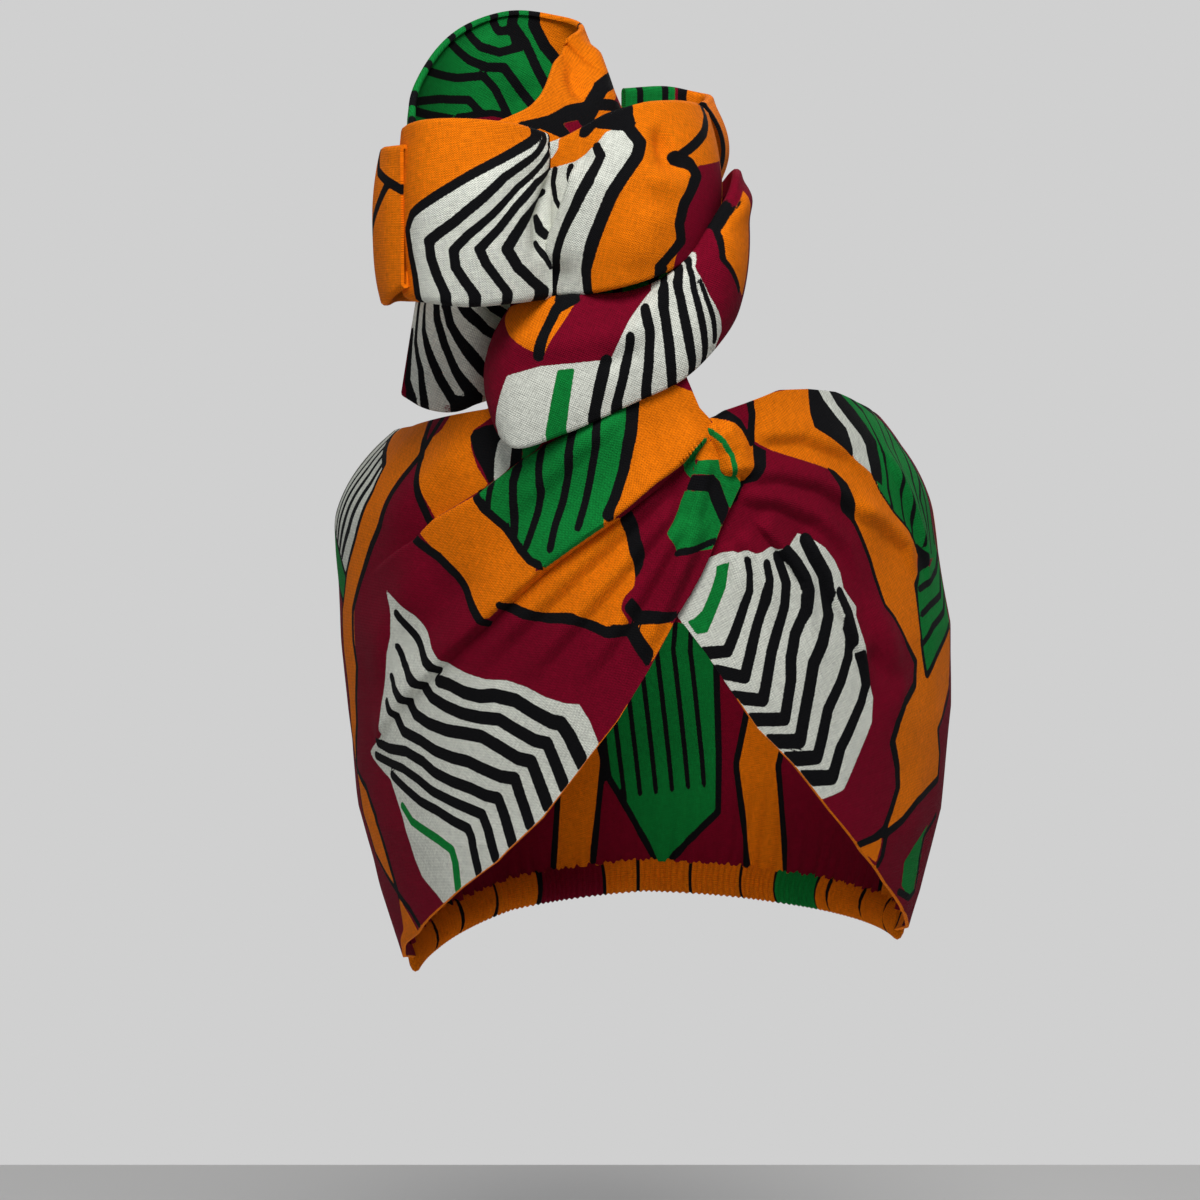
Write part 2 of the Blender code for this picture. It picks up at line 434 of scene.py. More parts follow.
@dataclass(frozen=True)
class Fold:
    """One fold: its run, how far it stands out and how wide it is, both in mm.

    `rise` and `fall` are the shares of the run over which it comes up and dies away.
    `EDGES` has half the width of a pleat's step in mm.
    """

    run: Points
    height: float
    width: float
    shape: Shape = Shape.RIDGE
    rise: float = 0.15
    fall: float = 0.25
    on: On = On.PICTURE
    stretch: tuple[float, float] = (0.0, 1.0)

    EDGES = {Shape.PLEAT: 0.7, Shape.SOFT: 2.2}
    PAST = 0.02

    def relief(self, chart: Chart, flat: Array) -> Array:
        """Height of this fold.

        Args:
            chart: Finds where its pixels lie on the cloth.
            flat: Flat places in millimetres, n by 2.

        Returns:
            Height at each place in mm.
        """
        off, share = run_distance(flat, chart.read(self, self.run))
        fade = smooth(-self.PAST, self.rise, share) * (1 - smooth(1 - self.fall, 1 + self.PAST, share))
        edge = self.EDGES.get(self.shape)
        if edge:
            profile = smooth(-edge, edge, off) * np.exp(-((np.maximum(off, 0) / self.width) ** 2))
        else:
            profile = np.exp(-((off / (self.width * (0.7 + 0.5 * np.clip(share, 0, 1)))) ** 2))
        return self.height * fade * profile


@dataclass(frozen=True)
class Rumple:
    """Slight unevenness of soft cloth, as a few crossing waves of seeded direction."""

    seed: int
    height: float = 0.22
    longest: float = 34.0
    shortest: float = 9.0
    waves: int = 9

    def relief(self, flat: Array) -> Array:
        """Height of the waves.

        Args:
            flat: Flat places in millimetres, n by 2.

        Returns:
            Height at each place in mm.
        """
        draw = np.random.default_rng(self.seed)
        total = np.zeros(len(flat))
        for _ in range(self.waves):
            length = draw.uniform(self.shortest, self.longest)
            turn, phase = draw.uniform(0, 2 * math.pi, 2)
            ahead = np.array((math.cos(turn), math.sin(turn)))
            total += np.sin(2 * math.pi * (flat @ ahead) / length + phase) * length / self.longest
        return self.height * total / math.sqrt(self.waves)


# Nodes


class Signal:
    """One socket with arithmetic: each operator adds its Math node."""

    def __init__(self, bench: "Bench", socket: bpy.types.NodeSocket) -> None:
        """Holds the socket and the bench that adds nodes."""
        self.bench = bench
        self.socket = socket

    def _with(self, operation: str, *values: "Signal | float") -> "Signal":
        """Result of one Math operation."""
        inputs = dict(enumerate(values))
        return self.bench.add("ShaderNodeMath", {"operation": operation}, inputs)

    def __add__(self, other: "Signal | float") -> "Signal":
        """Sum."""
        return self._with("ADD", self, other)

    __radd__ = __add__

    def __mul__(self, other: "Signal | float") -> "Signal":
        """Product."""
        return self._with("MULTIPLY", self, other)

    __rmul__ = __mul__

    def __sub__(self, other: "Signal | float") -> "Signal":
        """Difference."""
        return self._with("SUBTRACT", self, other)

    def __rsub__(self, other: float) -> "Signal":
        """Difference from a number."""
        return self._with("SUBTRACT", other, self)

    def sine(self) -> "Signal":
        """Sine."""
        return self._with("SINE", self)


class Bench:
    """Adds nodes to one material or world."""

    def __init__(self, owner: bpy.types.Material | bpy.types.World) -> None:
        """Empties the owner's node tree.

        Args:
            owner: The material or world that gets the nodes.
        """
        owner.use_nodes = True
        self.owner = owner
        self.tree = owner.node_tree
        self.tree.nodes.clear()

    def add(self, kind: str, settings: dict, inputs: dict, output: int | str = 0) -> Signal:
        """Adds one node.

        Args:
            kind: Node type.
            settings: Properties, set before the sockets.
            inputs: Values or signals by socket name or number.
            output: Which output is returned.

        Returns:
            The output as a signal.
        """
        made = self.tree.nodes.new(kind)
        for name, value in settings.items():
            setattr(made, name, value)
        for name, value in inputs.items():
            if isinstance(value, Signal):
                self.tree.links.new(value.socket, made.inputs[name])
            else:
                made.inputs[name].default_value = value
        return Signal(self, made.outputs[output] if made.outputs else made.inputs[0])

    def mix(self, factor: Signal, first: "Signal | Colour", second: "Signal | Colour") -> Signal:
        """Mixes two colours.

        Args:
            factor: 0 for the first, 1 for the second.
            first: A colour.
            second: Another colour.

        Returns:
            The mixed colour.
        """
        settings = {"data_type": "RGBA"}
        inputs = {0: factor, 6: first, 7: second}
        return self.add("ShaderNodeMix", settings, inputs, output=2)

    def tint(self, base: Signal, factor: Signal) -> Signal:
        """A colour times a factor near 1."""
        return self.add("ShaderNodeVectorMath", {"operation": "SCALE"}, {0: base, "Scale": factor})

    def noise(self, vector: Signal, scale: float, detail: float) -> Signal:
        """Noise from 0 to 1."""
        inputs = {"Vector": vector, "Scale": scale, "Detail": detail}
        return self.add("ShaderNodeTexNoise", {}, inputs)

    def step(self, value: Signal, half: float) -> Signal:
        """Soft step from 0 to 1 where a value goes through 0.

        Args:
            value: The value.
            half: How far the step reaches to each side of 0.

        Returns:
            The step.
        """
        settings = {"interpolation_type": "SMOOTHSTEP"}
        inputs = {"Value": value, "From Min": -half, "From Max": half}
        return self.add("ShaderNodeMapRange", settings, inputs)


def colour(code: str) -> Colour:
    """Linear colour of a hex code.

    Args:
        code: Six hex digits.

    Returns:
        Red, green, blue and full opacity.
    """
    parts = [int(code[i : i + 2], 16) / 255 for i in (0, 2, 4)]
    linear = [p / 12.92 if p <= 0.04045 else ((p + 0.055) / 1.055) ** 2.4 for p in parts]
    return (*linear, 1.0)


@dataclass(frozen=True)
class PrintedCotton:
    """Matt plain-weave cotton with a dyed print.

    Lengths are in millimetres and scales of noise count per millimetre. The fields that
    end in `_tone` say how much the weave, the weft, slubs and wear change the colour.
    """

    crimson: str = "760220"
    orange: str = "E67403"
    white: str = "D8DACE"
    green: str = "0B7C33"
    ink: str = "0E0E10"
    thread: float = 0.58
    wander: float = 1.6
    wander_scale: float = 0.12
    warp_sway: float = 3.0
    weft_sway: float = 2.4
    slub_length: float = 0.35
    slub_width: float = 2.6
    wear_scale: float = 0.045
    weave_tone: float = 0.32
    weft_tone: float = 0.08
    slub_tone: float = 0.55
    wear_tone: float = 0.25
    weave_height: float = 0.5
    slub_height: float = 0.9
    bump_distance: float = 0.00014
    bump_strength: float = 0.9
    edge: float = 0.09
    fray: float = 0.34
    fray_scale: float = 1.5
    thread_fray: float = 0.03
    roughness: float = 0.9
    weave_roughness: float = 0.05
    specular: float = 0.1

    def material(self, name: str) -> bpy.types.Material:
        """Builds the material.

        Args:
            name: The material's name.

        Returns:
            The material.
        """
        bench = Bench(bpy.data.materials.new(name))
        flat = bench.add("ShaderNodeUVMap", {"uv_map": "flat"}, {})
        cloth = bench.add("ShaderNodeVectorMath", {"operation": "SCALE"}, {0: flat, "Scale": 1 / MM})
        parts = bench.add("ShaderNodeSeparateXYZ", {}, {0: cloth})
        across = Signal(bench, parts.socket.node.outputs[0])
        upward = Signal(bench, parts.socket.node.outputs[1])
        turn = 2 * math.pi / self.thread
        wander = bench.noise(cloth, self.wander_scale, 2.0) * self.wander
        warp = (across * turn + wander * self.warp_sway).sine()
        weft = (upward * turn + wander * self.weft_sway).sine()
        weave = warp * weft
        long, wide = self.slub_length, self.slub_width
        slub_across = bench.noise(self._stretched(bench, cloth, long, wide), 1.0, 1.0)
        slub_upward = bench.noise(self._stretched(bench, cloth, wide, long), 1.0, 1.0)
        slub = slub_across + slub_upward - 1.0
        fray = (bench.noise(cloth, self.fray_scale, 2.0) - 0.5) * self.fray + weave * self.thread_fray
        worn = bench.noise(cloth, self.wear_scale, 3.0) - 0.5
        shade = self._print(bench, fray)
        glow = weave * self.weave_tone + weft * self.weft_tone + slub * self.slub_tone
        base = bench.tint(shade, glow + worn * self.wear_tone + 1.0)
        rough = weave * self.weave_roughness + self.roughness
        height = weave * self.weave_height + slub * self.slub_height
        depth = {"Height": height, "Distance": self.bump_distance, "Strength": self.bump_strength}
        bump = bench.add("ShaderNodeBump", {}, depth)
        inputs = {
            "Base Color": base,
            "Roughness": rough,
            "Normal": bump,
            "Specular IOR Level": self.specular,
        }
        shader = bench.add("ShaderNodeBsdfPrincipled", {}, inputs)
        bench.add("ShaderNodeOutputMaterial", {}, {"Surface": shader})
        return bench.owner

    def _stretched(self, bench: Bench, cloth: Signal, wide: float, tall: float) -> Signal:
        """The cloth's coordinates stretched, so that noise on them follows a thread.

        Args:
            bench: Adds the node.
            cloth: The coordinates in millimetres.
            wide: Scale along the weft.
            tall: Scale along the warp.

        Returns:
            The stretched coordinates.
        """
        settings = {"operation": "MULTIPLY"}
        return bench.add("ShaderNodeVectorMath", settings, {0: cloth, 1: (wide, tall, 1.0)})

    def _print(self, bench: Bench, fray: Signal) -> Signal:
        """Colour of the print, from the distances kept on the cloth.

        Args:
            bench: Adds the nodes.
            fray: Unevenness of the colours' edges in mm.

        Returns:
            The colour.
        """
        shown: Signal | Colour = colour(self.crimson)
        for dye in PRINTED:
            distance = bench.add("ShaderNodeAttribute", {"attribute_name": dye.value}, {}, "Fac")
            inside = bench.step(distance + fray, self.edge)
            shown = bench.mix(inside, shown, colour(getattr(self, dye.value)))
        return shown


@dataclass(frozen=True)
class StudioPaint:
    """Plain matt surface of the table."""

    tone: str = "C9C8C6"
    cloudy: str = "BDBCBA"
    cloud: float = 0.4
    cloud_scale: float = 6.0
    roughness: float = 0.7

    def material(self, name: str) -> bpy.types.Material:
        """Builds the material.

        Args:
            name: The material's name.

        Returns:
            The material.
        """
        bench = Bench(bpy.data.materials.new(name))
        place = bench.add("ShaderNodeTexCoord", {}, {}, "Object")
        grain = bench.noise(place, self.cloud_scale, 3.0)
        base = bench.mix(grain * self.cloud, colour(self.tone), colour(self.cloudy))
        inputs = {"Base Color": base, "Roughness": self.roughness}
        shader = bench.add("ShaderNodeBsdfPrincipled", {}, inputs)
        bench.add("ShaderNodeOutputMaterial", {}, {"Surface": shader})
        return bench.owner


# Cloth pieces


@dataclass
class ClothPiece:
    """One stretch of cloth on a surface function.

    `cells` are the grid's columns and rows, `grain` the degrees that its threads are turned
    by, and `shown` the share of its length that the camera sees. `layers`, how many times the
    cloth lies over itself in the grid, is not used, and neither is `slot`.
    """

    node: str
    cells: tuple[int, int]
    held: str
    slot: str = ""
    rests_on: tuple[str, ...] = ()
    closed: bool = False
    wall: float = 1.0
    layers: int = 1
    grain: float = 0.0
    folds: tuple[Fold, ...] = ()
    motifs: tuple[Motif, ...] = ()
    shown: tuple[float, float] = (0.0, 1.0)
    rumple: Rumple = Rumple(1)

    SMOOTHED = 60.0
    WELD = 0.01
    LEAST_SHARE = 0.31

    def surface(self, u: Array, v: Array) -> tuple[Array, Array, Array]:
        """Positions, outward directions and flat places of the cloth before its folds.

        Args:
            u: Share of the length, on a grid.
            v: Share of the height, on the same grid.

        Returns:
            Positions, outward directions, and flat places, all in millimetres.
        """
        raise NotImplementedError

    def printed(self, flat: Array, v: Array) -> Array:
        """Flat places that the print is read at, before any change."""
        return flat

    def gathers(self, u: Array, flat: Array) -> Array:
        """Height of the gathers of this piece."""
        return np.zeros_like(u)

    def ease(self, u: Array, v: Array) -> Array:
        """Share of the folds that shows at each place."""
        return np.ones_like(u)

    def extra(self, fields: Fields, flat: Array, u: Array, v: Array) -> None:
        """Prints what follows the piece's own edges."""

    def build(self, finish: bpy.types.Material) -> bpy.types.Object:
        """Makes the piece, prints it, hangs it under the body, hides its imported part and logs its faces.

        Args:
            finish: Its material.

        Returns:
            The finished object.
        """
        columns, rows = self.cells
        u, v = np.meshgrid(np.linspace(0, 1, columns + 1), np.linspace(0, 1, rows + 1))
        points, outward, flat = self.surface(u, v)
        chart = Chart(points, flat, self.shown)
        places = flat.reshape(-1, 2)
        relief = self.rumple.relief(places) + self.gathers(u, flat).ravel()
        for fold in self.folds:
            relief = relief + fold.relief(chart, places)
        points = points + outward * (relief.reshape(u.shape) * self.ease(u, v))[..., None]
        printed = self.printed(flat, v).reshape(-1, 2)
        fields = Fields(printed)
        fields.draw(self.motifs, chart)
        self.extra(fields, printed, u.ravel(), v.ravel())
        piece = self._mesh(points, flat, fields)
        self._wall(piece)
        piece.data.materials.append(finish)
        self._declare(piece)
        log.info("%s: %d faces", piece.name, len(piece.data.polygons))
        return piece

    def _mesh(self, points: Array, flat: Array, fields: Fields) -> bpy.types.Object:
        """Moves a grid onto the surface, with its flat map and its print.

        Args:
            points: Positions in millimetres.
            flat: Flat places in millimetres.
            fields: The print.

        Returns:
            The new object.
        """
        columns, rows = self.cells
        bpy.ops.object.select_all(action="DESELECT")
        bpy.ops.mesh.primitive_grid_add(x_subdivisions=columns, y_subdivisions=rows, size=1)
        piece = bpy.context.object
        piece.name = piece.data.name = self.node + "_cloth"
        mesh = piece.data
        mesh.vertices.foreach_set("co", (points * MM).astype(np.float32).ravel())
        turn = math.radians(self.grain)
        spin = np.array(((math.cos(turn), -math.sin(turn)), (math.sin(turn), math.cos(turn))))
        corners = np.empty(len(mesh.loops), np.int32)
        mesh.loops.foreach_get("vertex_index", corners)
        flat_map = (flat.reshape(-1, 2) @ spin.T * MM)[corners]
        while mesh.uv_layers:
            mesh.uv_layers.remove(mesh.uv_layers[0])
        mesh.uv_layers.new(name="flat").data.foreach_set("uv", flat_map.astype(np.float32).ravel())
        for dye, values in fields.values.items():
            layer = mesh.attributes.new(dye.value, "FLOAT", "POINT")
            layer.data.foreach_set("value", values.astype(np.float32))
        mesh.update()
        return piece

    def _wall(self, piece: bpy.types.Object) -> None:
        """Closes a ring, gives the cloth its wall and shades it smooth.

        Args:
            piece: The object, which is the active one.
        """
        if self.closed:
            bpy.ops.object.mode_set(mode="EDIT")
            bpy.ops.mesh.select_all(action="SELECT")
            bpy.ops.mesh.remove_doubles(threshold=self.WELD * MM)
            bpy.ops.object.mode_set(mode="OBJECT")
        wall = piece.modifiers.new("wall", "SOLIDIFY")
        wall.thickness = self.wall * MM
        wall.offset = 0
        wall.use_even_offset = False
        bpy.context.view_layer.objects.active = piece
        bpy.ops.object.modifier_apply(modifier=wall.name)
        bpy.ops.object.shade_smooth_by_angle(angle=math.radians(self.SMOOTHED))

    def _declare(self, piece: bpy.types.Object) -> None:
        """Hangs the piece under the body's empty and hides its part from the imported model.

        Args:
            piece: The object.
        """
        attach(piece, BODY)
        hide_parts(self.node)


# The band


REACH_COLUMNS = ("z", "left", "right", "front", "back")
REACH: Rows = (
    (-110, 66.0, 64.0, 84.0, 68.0),
    (-90, 72.5, 73.5, 88.0, 80.0),
    (-76, 76.5, 78.0, 91.0, 88.0),
    (-53, 82.5, 83.5, 95.5, 97.0),
    (-24, 85.6, 86.0, 99.5, 102.0),
    (0, 87.5, 85.6, 102.0, 104.0),
    (20, 88.5, 81.8, 103.5, 105.0),
    (50, 89.0, 77.5, 105.0, 104.0),
    (78, 89.0, 78.0, 107.0, 104.0),
)
EDGE_COLUMNS = ("angle", "low", "top", "inset")
LEFT_EDGE: Rows = (
    (-98, -101, 51, 17),
    (-84, -97, 53, 17),
    (-59, -83, 56, 14),
    (-44, -70, 59, 9),
    (-30, -57, 62, 4),
    (-20, -44, 69, 1),
    (-13, -31, 74, 0),
    (-6, -17, 77, 0),
    (-1, -4, 78, 0),
    (4, 10.5, 76, 0),
    (8, 20.2, 63, 0),
    (10, 26.3, 60, 0),
    (12, 33.2, 56, 0),
    (15.5, 43, 51, 0),
)
RIGHT_EDGE: Rows = (
    (2, 9, 52, 0),
    (5, 8, 55, 0),
    (9, 0, 59, 0),
    (13, -9, 62, 0),
    (18, -20, 64, 1),
    (25, -30, 67, 3),
    (33, -43, 67, 5),
    (42, -56, 66, 7),
    (52, -67, 63, 9),
    (64, -78, 60, 11),
    (80, -87, 57, 12),
    (94, -92, 55, 12),
)
BACK_EDGE: Rows = (
    (92.6, -86, 55, 12),
    (115, -86, 51, 10),
    (145, -86, 47, 8),
    (180, -85, 45, 8),
    (215, -88, 46, 8),
    (245, -94, 49, 13),
    (263.4, -97, 51, 17),
)
SHOULDER = 26.0
MM_PER_DEGREE = 1.66


def columns_of(rows: Rows, names: Sequence[str]) -> dict[str, Array]:
    """Each named column of a table as an array.

    Args:
        rows: The table.
        names: Its column names, in order.

    Returns:
        The columns by name.
    """
    return {name: np.array([row[k] for row in rows], float) for k, name in enumerate(names)}


def band_point(angle: Array, z: Array, inset: Array) -> Array:
    """Points of the band's own surface.

    Args:
        angle: Degrees round the band from the front.
        z: Heights.
        inset: How far the cloth leans in.

    Returns:
        Positions in millimetres.
    """
    reach = columns_of(REACH, REACH_COLUMNS)
    turn = np.radians(angle)
    wide = np.where(
        np.sin(turn) > 0,
        np.interp(z, reach["z"], reach["right"]),
        np.interp(z, reach["z"], reach["left"]),
    )
    deep = np.where(
        np.cos(turn) > 0,
        np.interp(z, reach["z"], reach["front"]),
        np.interp(z, reach["z"], reach["back"]),
    )
    x = (wide - inset) * np.sin(turn)
    y = -(deep - inset) * np.cos(turn)
    return np.stack((x, y, z * np.ones_like(x)), axis=-1)


def band_outward(angle: Array) -> Array:
    """Level directions out of the band."""
    turn = np.radians(angle)
    return np.stack((np.sin(turn), -np.cos(turn), np.zeros_like(turn)), axis=-1)


@dataclass
class BandPiece(ClothPiece):
    """A stretch of the band between its two edges.

    `layer` says how far it lies out of the band's own surface, `hem` is the height of the
    hem's colour where the edge is below `hem_below`, `shirring` counts the gathers of the
    lower edge, and the folds die away between the two heights of `tuck`.
    """

    edge: Rows = ()
    layer: Callable[[Array], Array] = np.zeros_like
    hem: float = 0.3
    hem_below: float = -12.0
    shirring: int = 0
    tuck: tuple[float, float] | None = None

    TUCKED = 0.85
    GATHER = 0.9
    GATHER_REACH = 13.0
    GATHER_BEND = 9.0

    def stretch_at(self, u: Array, names: Sequence[str]) -> tuple[Array, ...]:
        """The angle and some columns of the edge table at shares of the length.

        Args:
            u: Shares of the length.
            names: The columns.

        Returns:
            The angle and each column, as arrays.
        """
        edge = columns_of(self.edge, EDGE_COLUMNS)
        angle = edge["angle"][0] + (edge["angle"][-1] - edge["angle"][0]) * u
        return angle, *(np.interp(angle, edge["angle"], edge[name]) for name in names)

    def lower_edge(self, flat: Array) -> Array:
        """Height of the lower edge below flat places."""
        edge = columns_of(self.edge, EDGE_COLUMNS)
        return np.interp(flat[..., 0] / MM_PER_DEGREE, edge["angle"], edge["low"])

    def surface(self, u: Array, v: Array) -> tuple[Array, Array, Array]:
        """Positions, outward directions and flat places of this stretch.

        Args:
            u: Share of the length, on a grid.
            v: Share of the height, on the same grid.

        Returns:
            Positions, outward directions and flat places in millimetres.
        """
        angle, low, top, inset = self.stretch_at(u, EDGE_COLUMNS[1:])
        z = low + (top - low) * v
        lean = inset * np.maximum(0.0, 1 - (top - z) / SHOULDER) ** 2
        outward = band_outward(angle)
        points = band_point(angle, z, lean) + outward * self.layer(angle)[..., None]
        return points, outward, np.stack((angle * MM_PER_DEGREE, z), axis=-1)

    def ease(self, u: Array, v: Array) -> Array:
        """Flattens the folds where the cloth goes in under the twist.

        Args:
            u: Share of the length, on a grid.
            v: Share of the height, on the same grid.

        Returns:
            Share of the folds that shows.
        """
        if self.tuck is None:
            return np.ones_like(u)
        _, low, top = self.stretch_at(u, ("low", "top"))
        return 1 - self.TUCKED * smooth(*self.tuck, low + (top - low) * v)

    def extra(self, fields: Fields, flat: Array, u: Array, v: Array) -> None:
        """Turns the orange hem up along the lower edge.

        Args:
            fields: The print.
            flat: Flat places in millimetres, n by 2.
            u: Share of the length at each place.
            v: Share of the height at each place.
        """
        low = self.lower_edge(flat)
        at = np.flatnonzero(low < self.hem_below)
        fields.lay(Dye.ORANGE, at, self.hem - (flat[at, 1] - low[at]))

    def gathers(self, u: Array, flat: Array) -> Array:
        """Small upright gathers that the elastic draws into the lower edge.

        Args:
            u: Share of the length, on a grid.
            flat: Flat places in millimetres, on the same grid.

        Returns:
            Height of the gathers in mm.
        """
        if not self.shirring:
            return np.zeros_like(u)
        over = flat[..., 1] - self.lower_edge(flat)
        turn = 2 * math.pi * u
        sway = 0.8 * np.sin(5 * turn) + 0.6 * np.sin(13 * turn + over / self.GATHER_BEND)
        wave = np.cos(self.shirring * turn + sway) * (0.7 + 0.3 * np.sin(9 * turn))
        return self.GATHER * wave * np.exp(-over / self.GATHER_REACH)


# The ribbons of the twist and the rosette


SECTION_COLUMNS = ("x", "y", "low", "high", "lean", "bow")
PLAN_STEP = 0.004
LENGTH_STEPS = 400
ROLL_ROWS = 9
BEND_ROWS = 5


@dataclass
class RibbonPiece(ClothPiece):
    """A ribbon that stands on a plan curve, with its edges rolled inwards.

    Its sections give the plan, the two edges, how far the top leans out and how far the
    middle bows out. A roll has the radius of its bend and the length of its tail in mm.
    """

    sections: Rows = ()
    lean_power: float = 1.0
    top_roll: tuple[float, float] = (0.8, 4.0)
    low_roll: tuple[float, float] = (0.8, 3.0)

    RIM = 1.0
    PRESSED = 0.25
    NEAR_RIM = 0.12
    NEAR_END = 0.05

    def plan(self, u: Array) -> Array:
        """Plan curve at shares of the length."""
        parts = columns_of(self.sections, SECTION_COLUMNS)
        return np.stack([along(parts[name], u, self.closed) for name in ("x", "y")], axis=-1)

    def away(self, u: Array) -> Array:
        """Level directions out of the ribbon's wall.

        Args:
            u: Shares of the length.

        Returns:
            Directions of length 1.
        """
        if self.closed:
            run = self.plan((u + PLAN_STEP) % 1) - self.plan((u - PLAN_STEP) % 1)
        else:
            run = self.plan(np.minimum(u + PLAN_STEP, 1)) - self.plan(np.maximum(u - PLAN_STEP, 0))
        run = unit(run)
        return np.stack((run[..., 1], -run[..., 0], np.zeros_like(u)), axis=-1)

    def roll(self, v: Array) -> tuple[Array, Array, Array, Array]:
        """Splits the height into the wall and its two rolled edges.

        Args:
            v: Share of the cloth's height, rolls included.

        Returns:
            Share of the wall's height, and how far the cloth is moved inwards, upwards and
            along the flat, in mm.
        """
        rows = self.cells[1]
        step = np.round(v * rows)
        share = np.clip((step - ROLL_ROWS) / (rows - 2 * ROLL_ROWS), 0, 1)
        inward, upward, past = np.zeros_like(v), np.zeros_like(v), np.zeros_like(v)
        tops = (1, step - (rows - ROLL_ROWS), self.top_roll)
        lows = (-1, ROLL_ROWS - step, self.low_roll)
        for sign, over, (radius, tail) in (tops, lows):
            turn = np.clip(over / BEND_ROWS, 0, 1) * math.pi
            beyond = np.clip((over - BEND_ROWS) / (ROLL_ROWS - BEND_ROWS), 0, 1)
            inward += radius * (1 - np.cos(turn))
            upward += sign * (radius * np.sin(turn) - tail * beyond)
            past += sign * (radius * turn + tail * beyond)
        return share, inward, upward, past

    def surface(self, u: Array, v: Array) -> tuple[Array, Array, Array]:
        """Positions, outward directions and flat places of this ribbon.

        Args:
            u: Share of the length, on a grid.
            v: Share of the height, on the same grid.

        Returns:
            Positions, outward directions and flat places in millimetres.
        """
        parts = columns_of(self.sections, SECTION_COLUMNS)
        low, high, lean, bow = (along(parts[name], u, self.closed) for name in SECTION_COLUMNS[2:])
        share, inward, upward, past = self.roll(v)
        away = self.away(u)
        out = lean * share**self.lean_power + 4 * bow * share * (1 - share) - inward
        z = low + (high - low) * share
        points = np.concatenate((self.plan(u), (z + upward)[..., None]), axis=-1)
        points = points + away * out[..., None]
        steps = np.linspace(0, 1, LENGTH_STEPS)
        walk = np.linalg.norm(np.diff(self.plan(steps), axis=0), axis=1)
        length = np.interp(u, steps, np.concatenate(([0.0], np.cumsum(walk))))
        return points, self.outward(points), np.stack((length, z + past), axis=-1)

    def outward(self, points: Array) -> Array:
        """Directions square to the cloth."""
        return unit(np.cross(np.gradient(points, axis=1), np.gradient(points, axis=0)))

    def printed(self, flat: Array, v: Array) -> Array:
        """Carries the print at the wall's rims on over the rolls.

        Args:
            flat: Flat places in millimetres, on a grid.
            v: Share of the height, on the same grid.

        Returns:
            Flat places that the print is read at.
        """
        past = self.roll(v)[3]
        plain = flat[..., 1] - past
        held = np.clip(plain, plain.min(0) + self.RIM, plain.max(0) - self.RIM)
        return np.stack((flat[..., 0], held), axis=-1)

    def ease(self, u: Array, v: Array) -> Array:
        """Flattens the folds at the rolled edges and at the two ends.

        Args:
            u: Share of the length, on a grid.
            v: Share of the height, on the same grid.

        Returns:
            Share of the folds that shows.
        """
        share = self.roll(v)[0]
        inside = smooth(0, self.NEAR_RIM, share) * (1 - smooth(1 - self.NEAR_RIM, 1, share))
        shown = self.PRESSED + (1 - self.PRESSED) * inside
        if self.closed:
            return shown
        return shown * smooth(0, self.NEAR_END, u) * (1 - smooth(1 - self.NEAR_END, 1, u))


CORE_COLUMNS = ("z", "x", "y", "wide", "deep")
CORE: Rows = (
    (58, -10, -89, 18, 15.0),
    (72, -11, -87, 15, 13.5),
    (88, -14, -86, 17, 14.0),
    (108, -20, -84, 25, 18.0),
)


@dataclass
class CorePiece(ClothPiece):
    """Wrung cloth at the middle of the twist: an upright pleated tube.

    `pleat` is half the pleats' depth in mm and `twist` the degrees they turn on the way up.
    """

    pleats: int = 9
    pleat: float = 1.1
    twist: float = 70.0

    def surface(self, u: Array, v: Array) -> tuple[Array, Array, Array]:
        """Positions, outward directions and flat places of the tube.

        Args:
            u: Share of the length, on a grid.
            v: Share of the height, on the same grid.

        Returns:
            Positions, outward directions and flat places in millimetres.
        """
        turn = 2 * math.pi * u
        parts = columns_of(CORE, CORE_COLUMNS)
        z, x, y, wide, deep = (along(parts[name], v) for name in CORE_COLUMNS)
        pleat = self.pleat * np.cos(self.pleats * (turn + math.radians(self.twist) * v))
        around = np.stack((np.cos(turn), np.sin(turn), np.zeros_like(u)), axis=-1)
        reach = np.stack((wide - pleat, deep - pleat, np.zeros_like(u)), axis=-1)
        points = np.stack((x, y, z), axis=-1) + around * reach
        mean = float(parts["wide"].mean() + parts["deep"].mean()) / 2
        return points, around, np.stack((turn * mean, z), axis=-1)


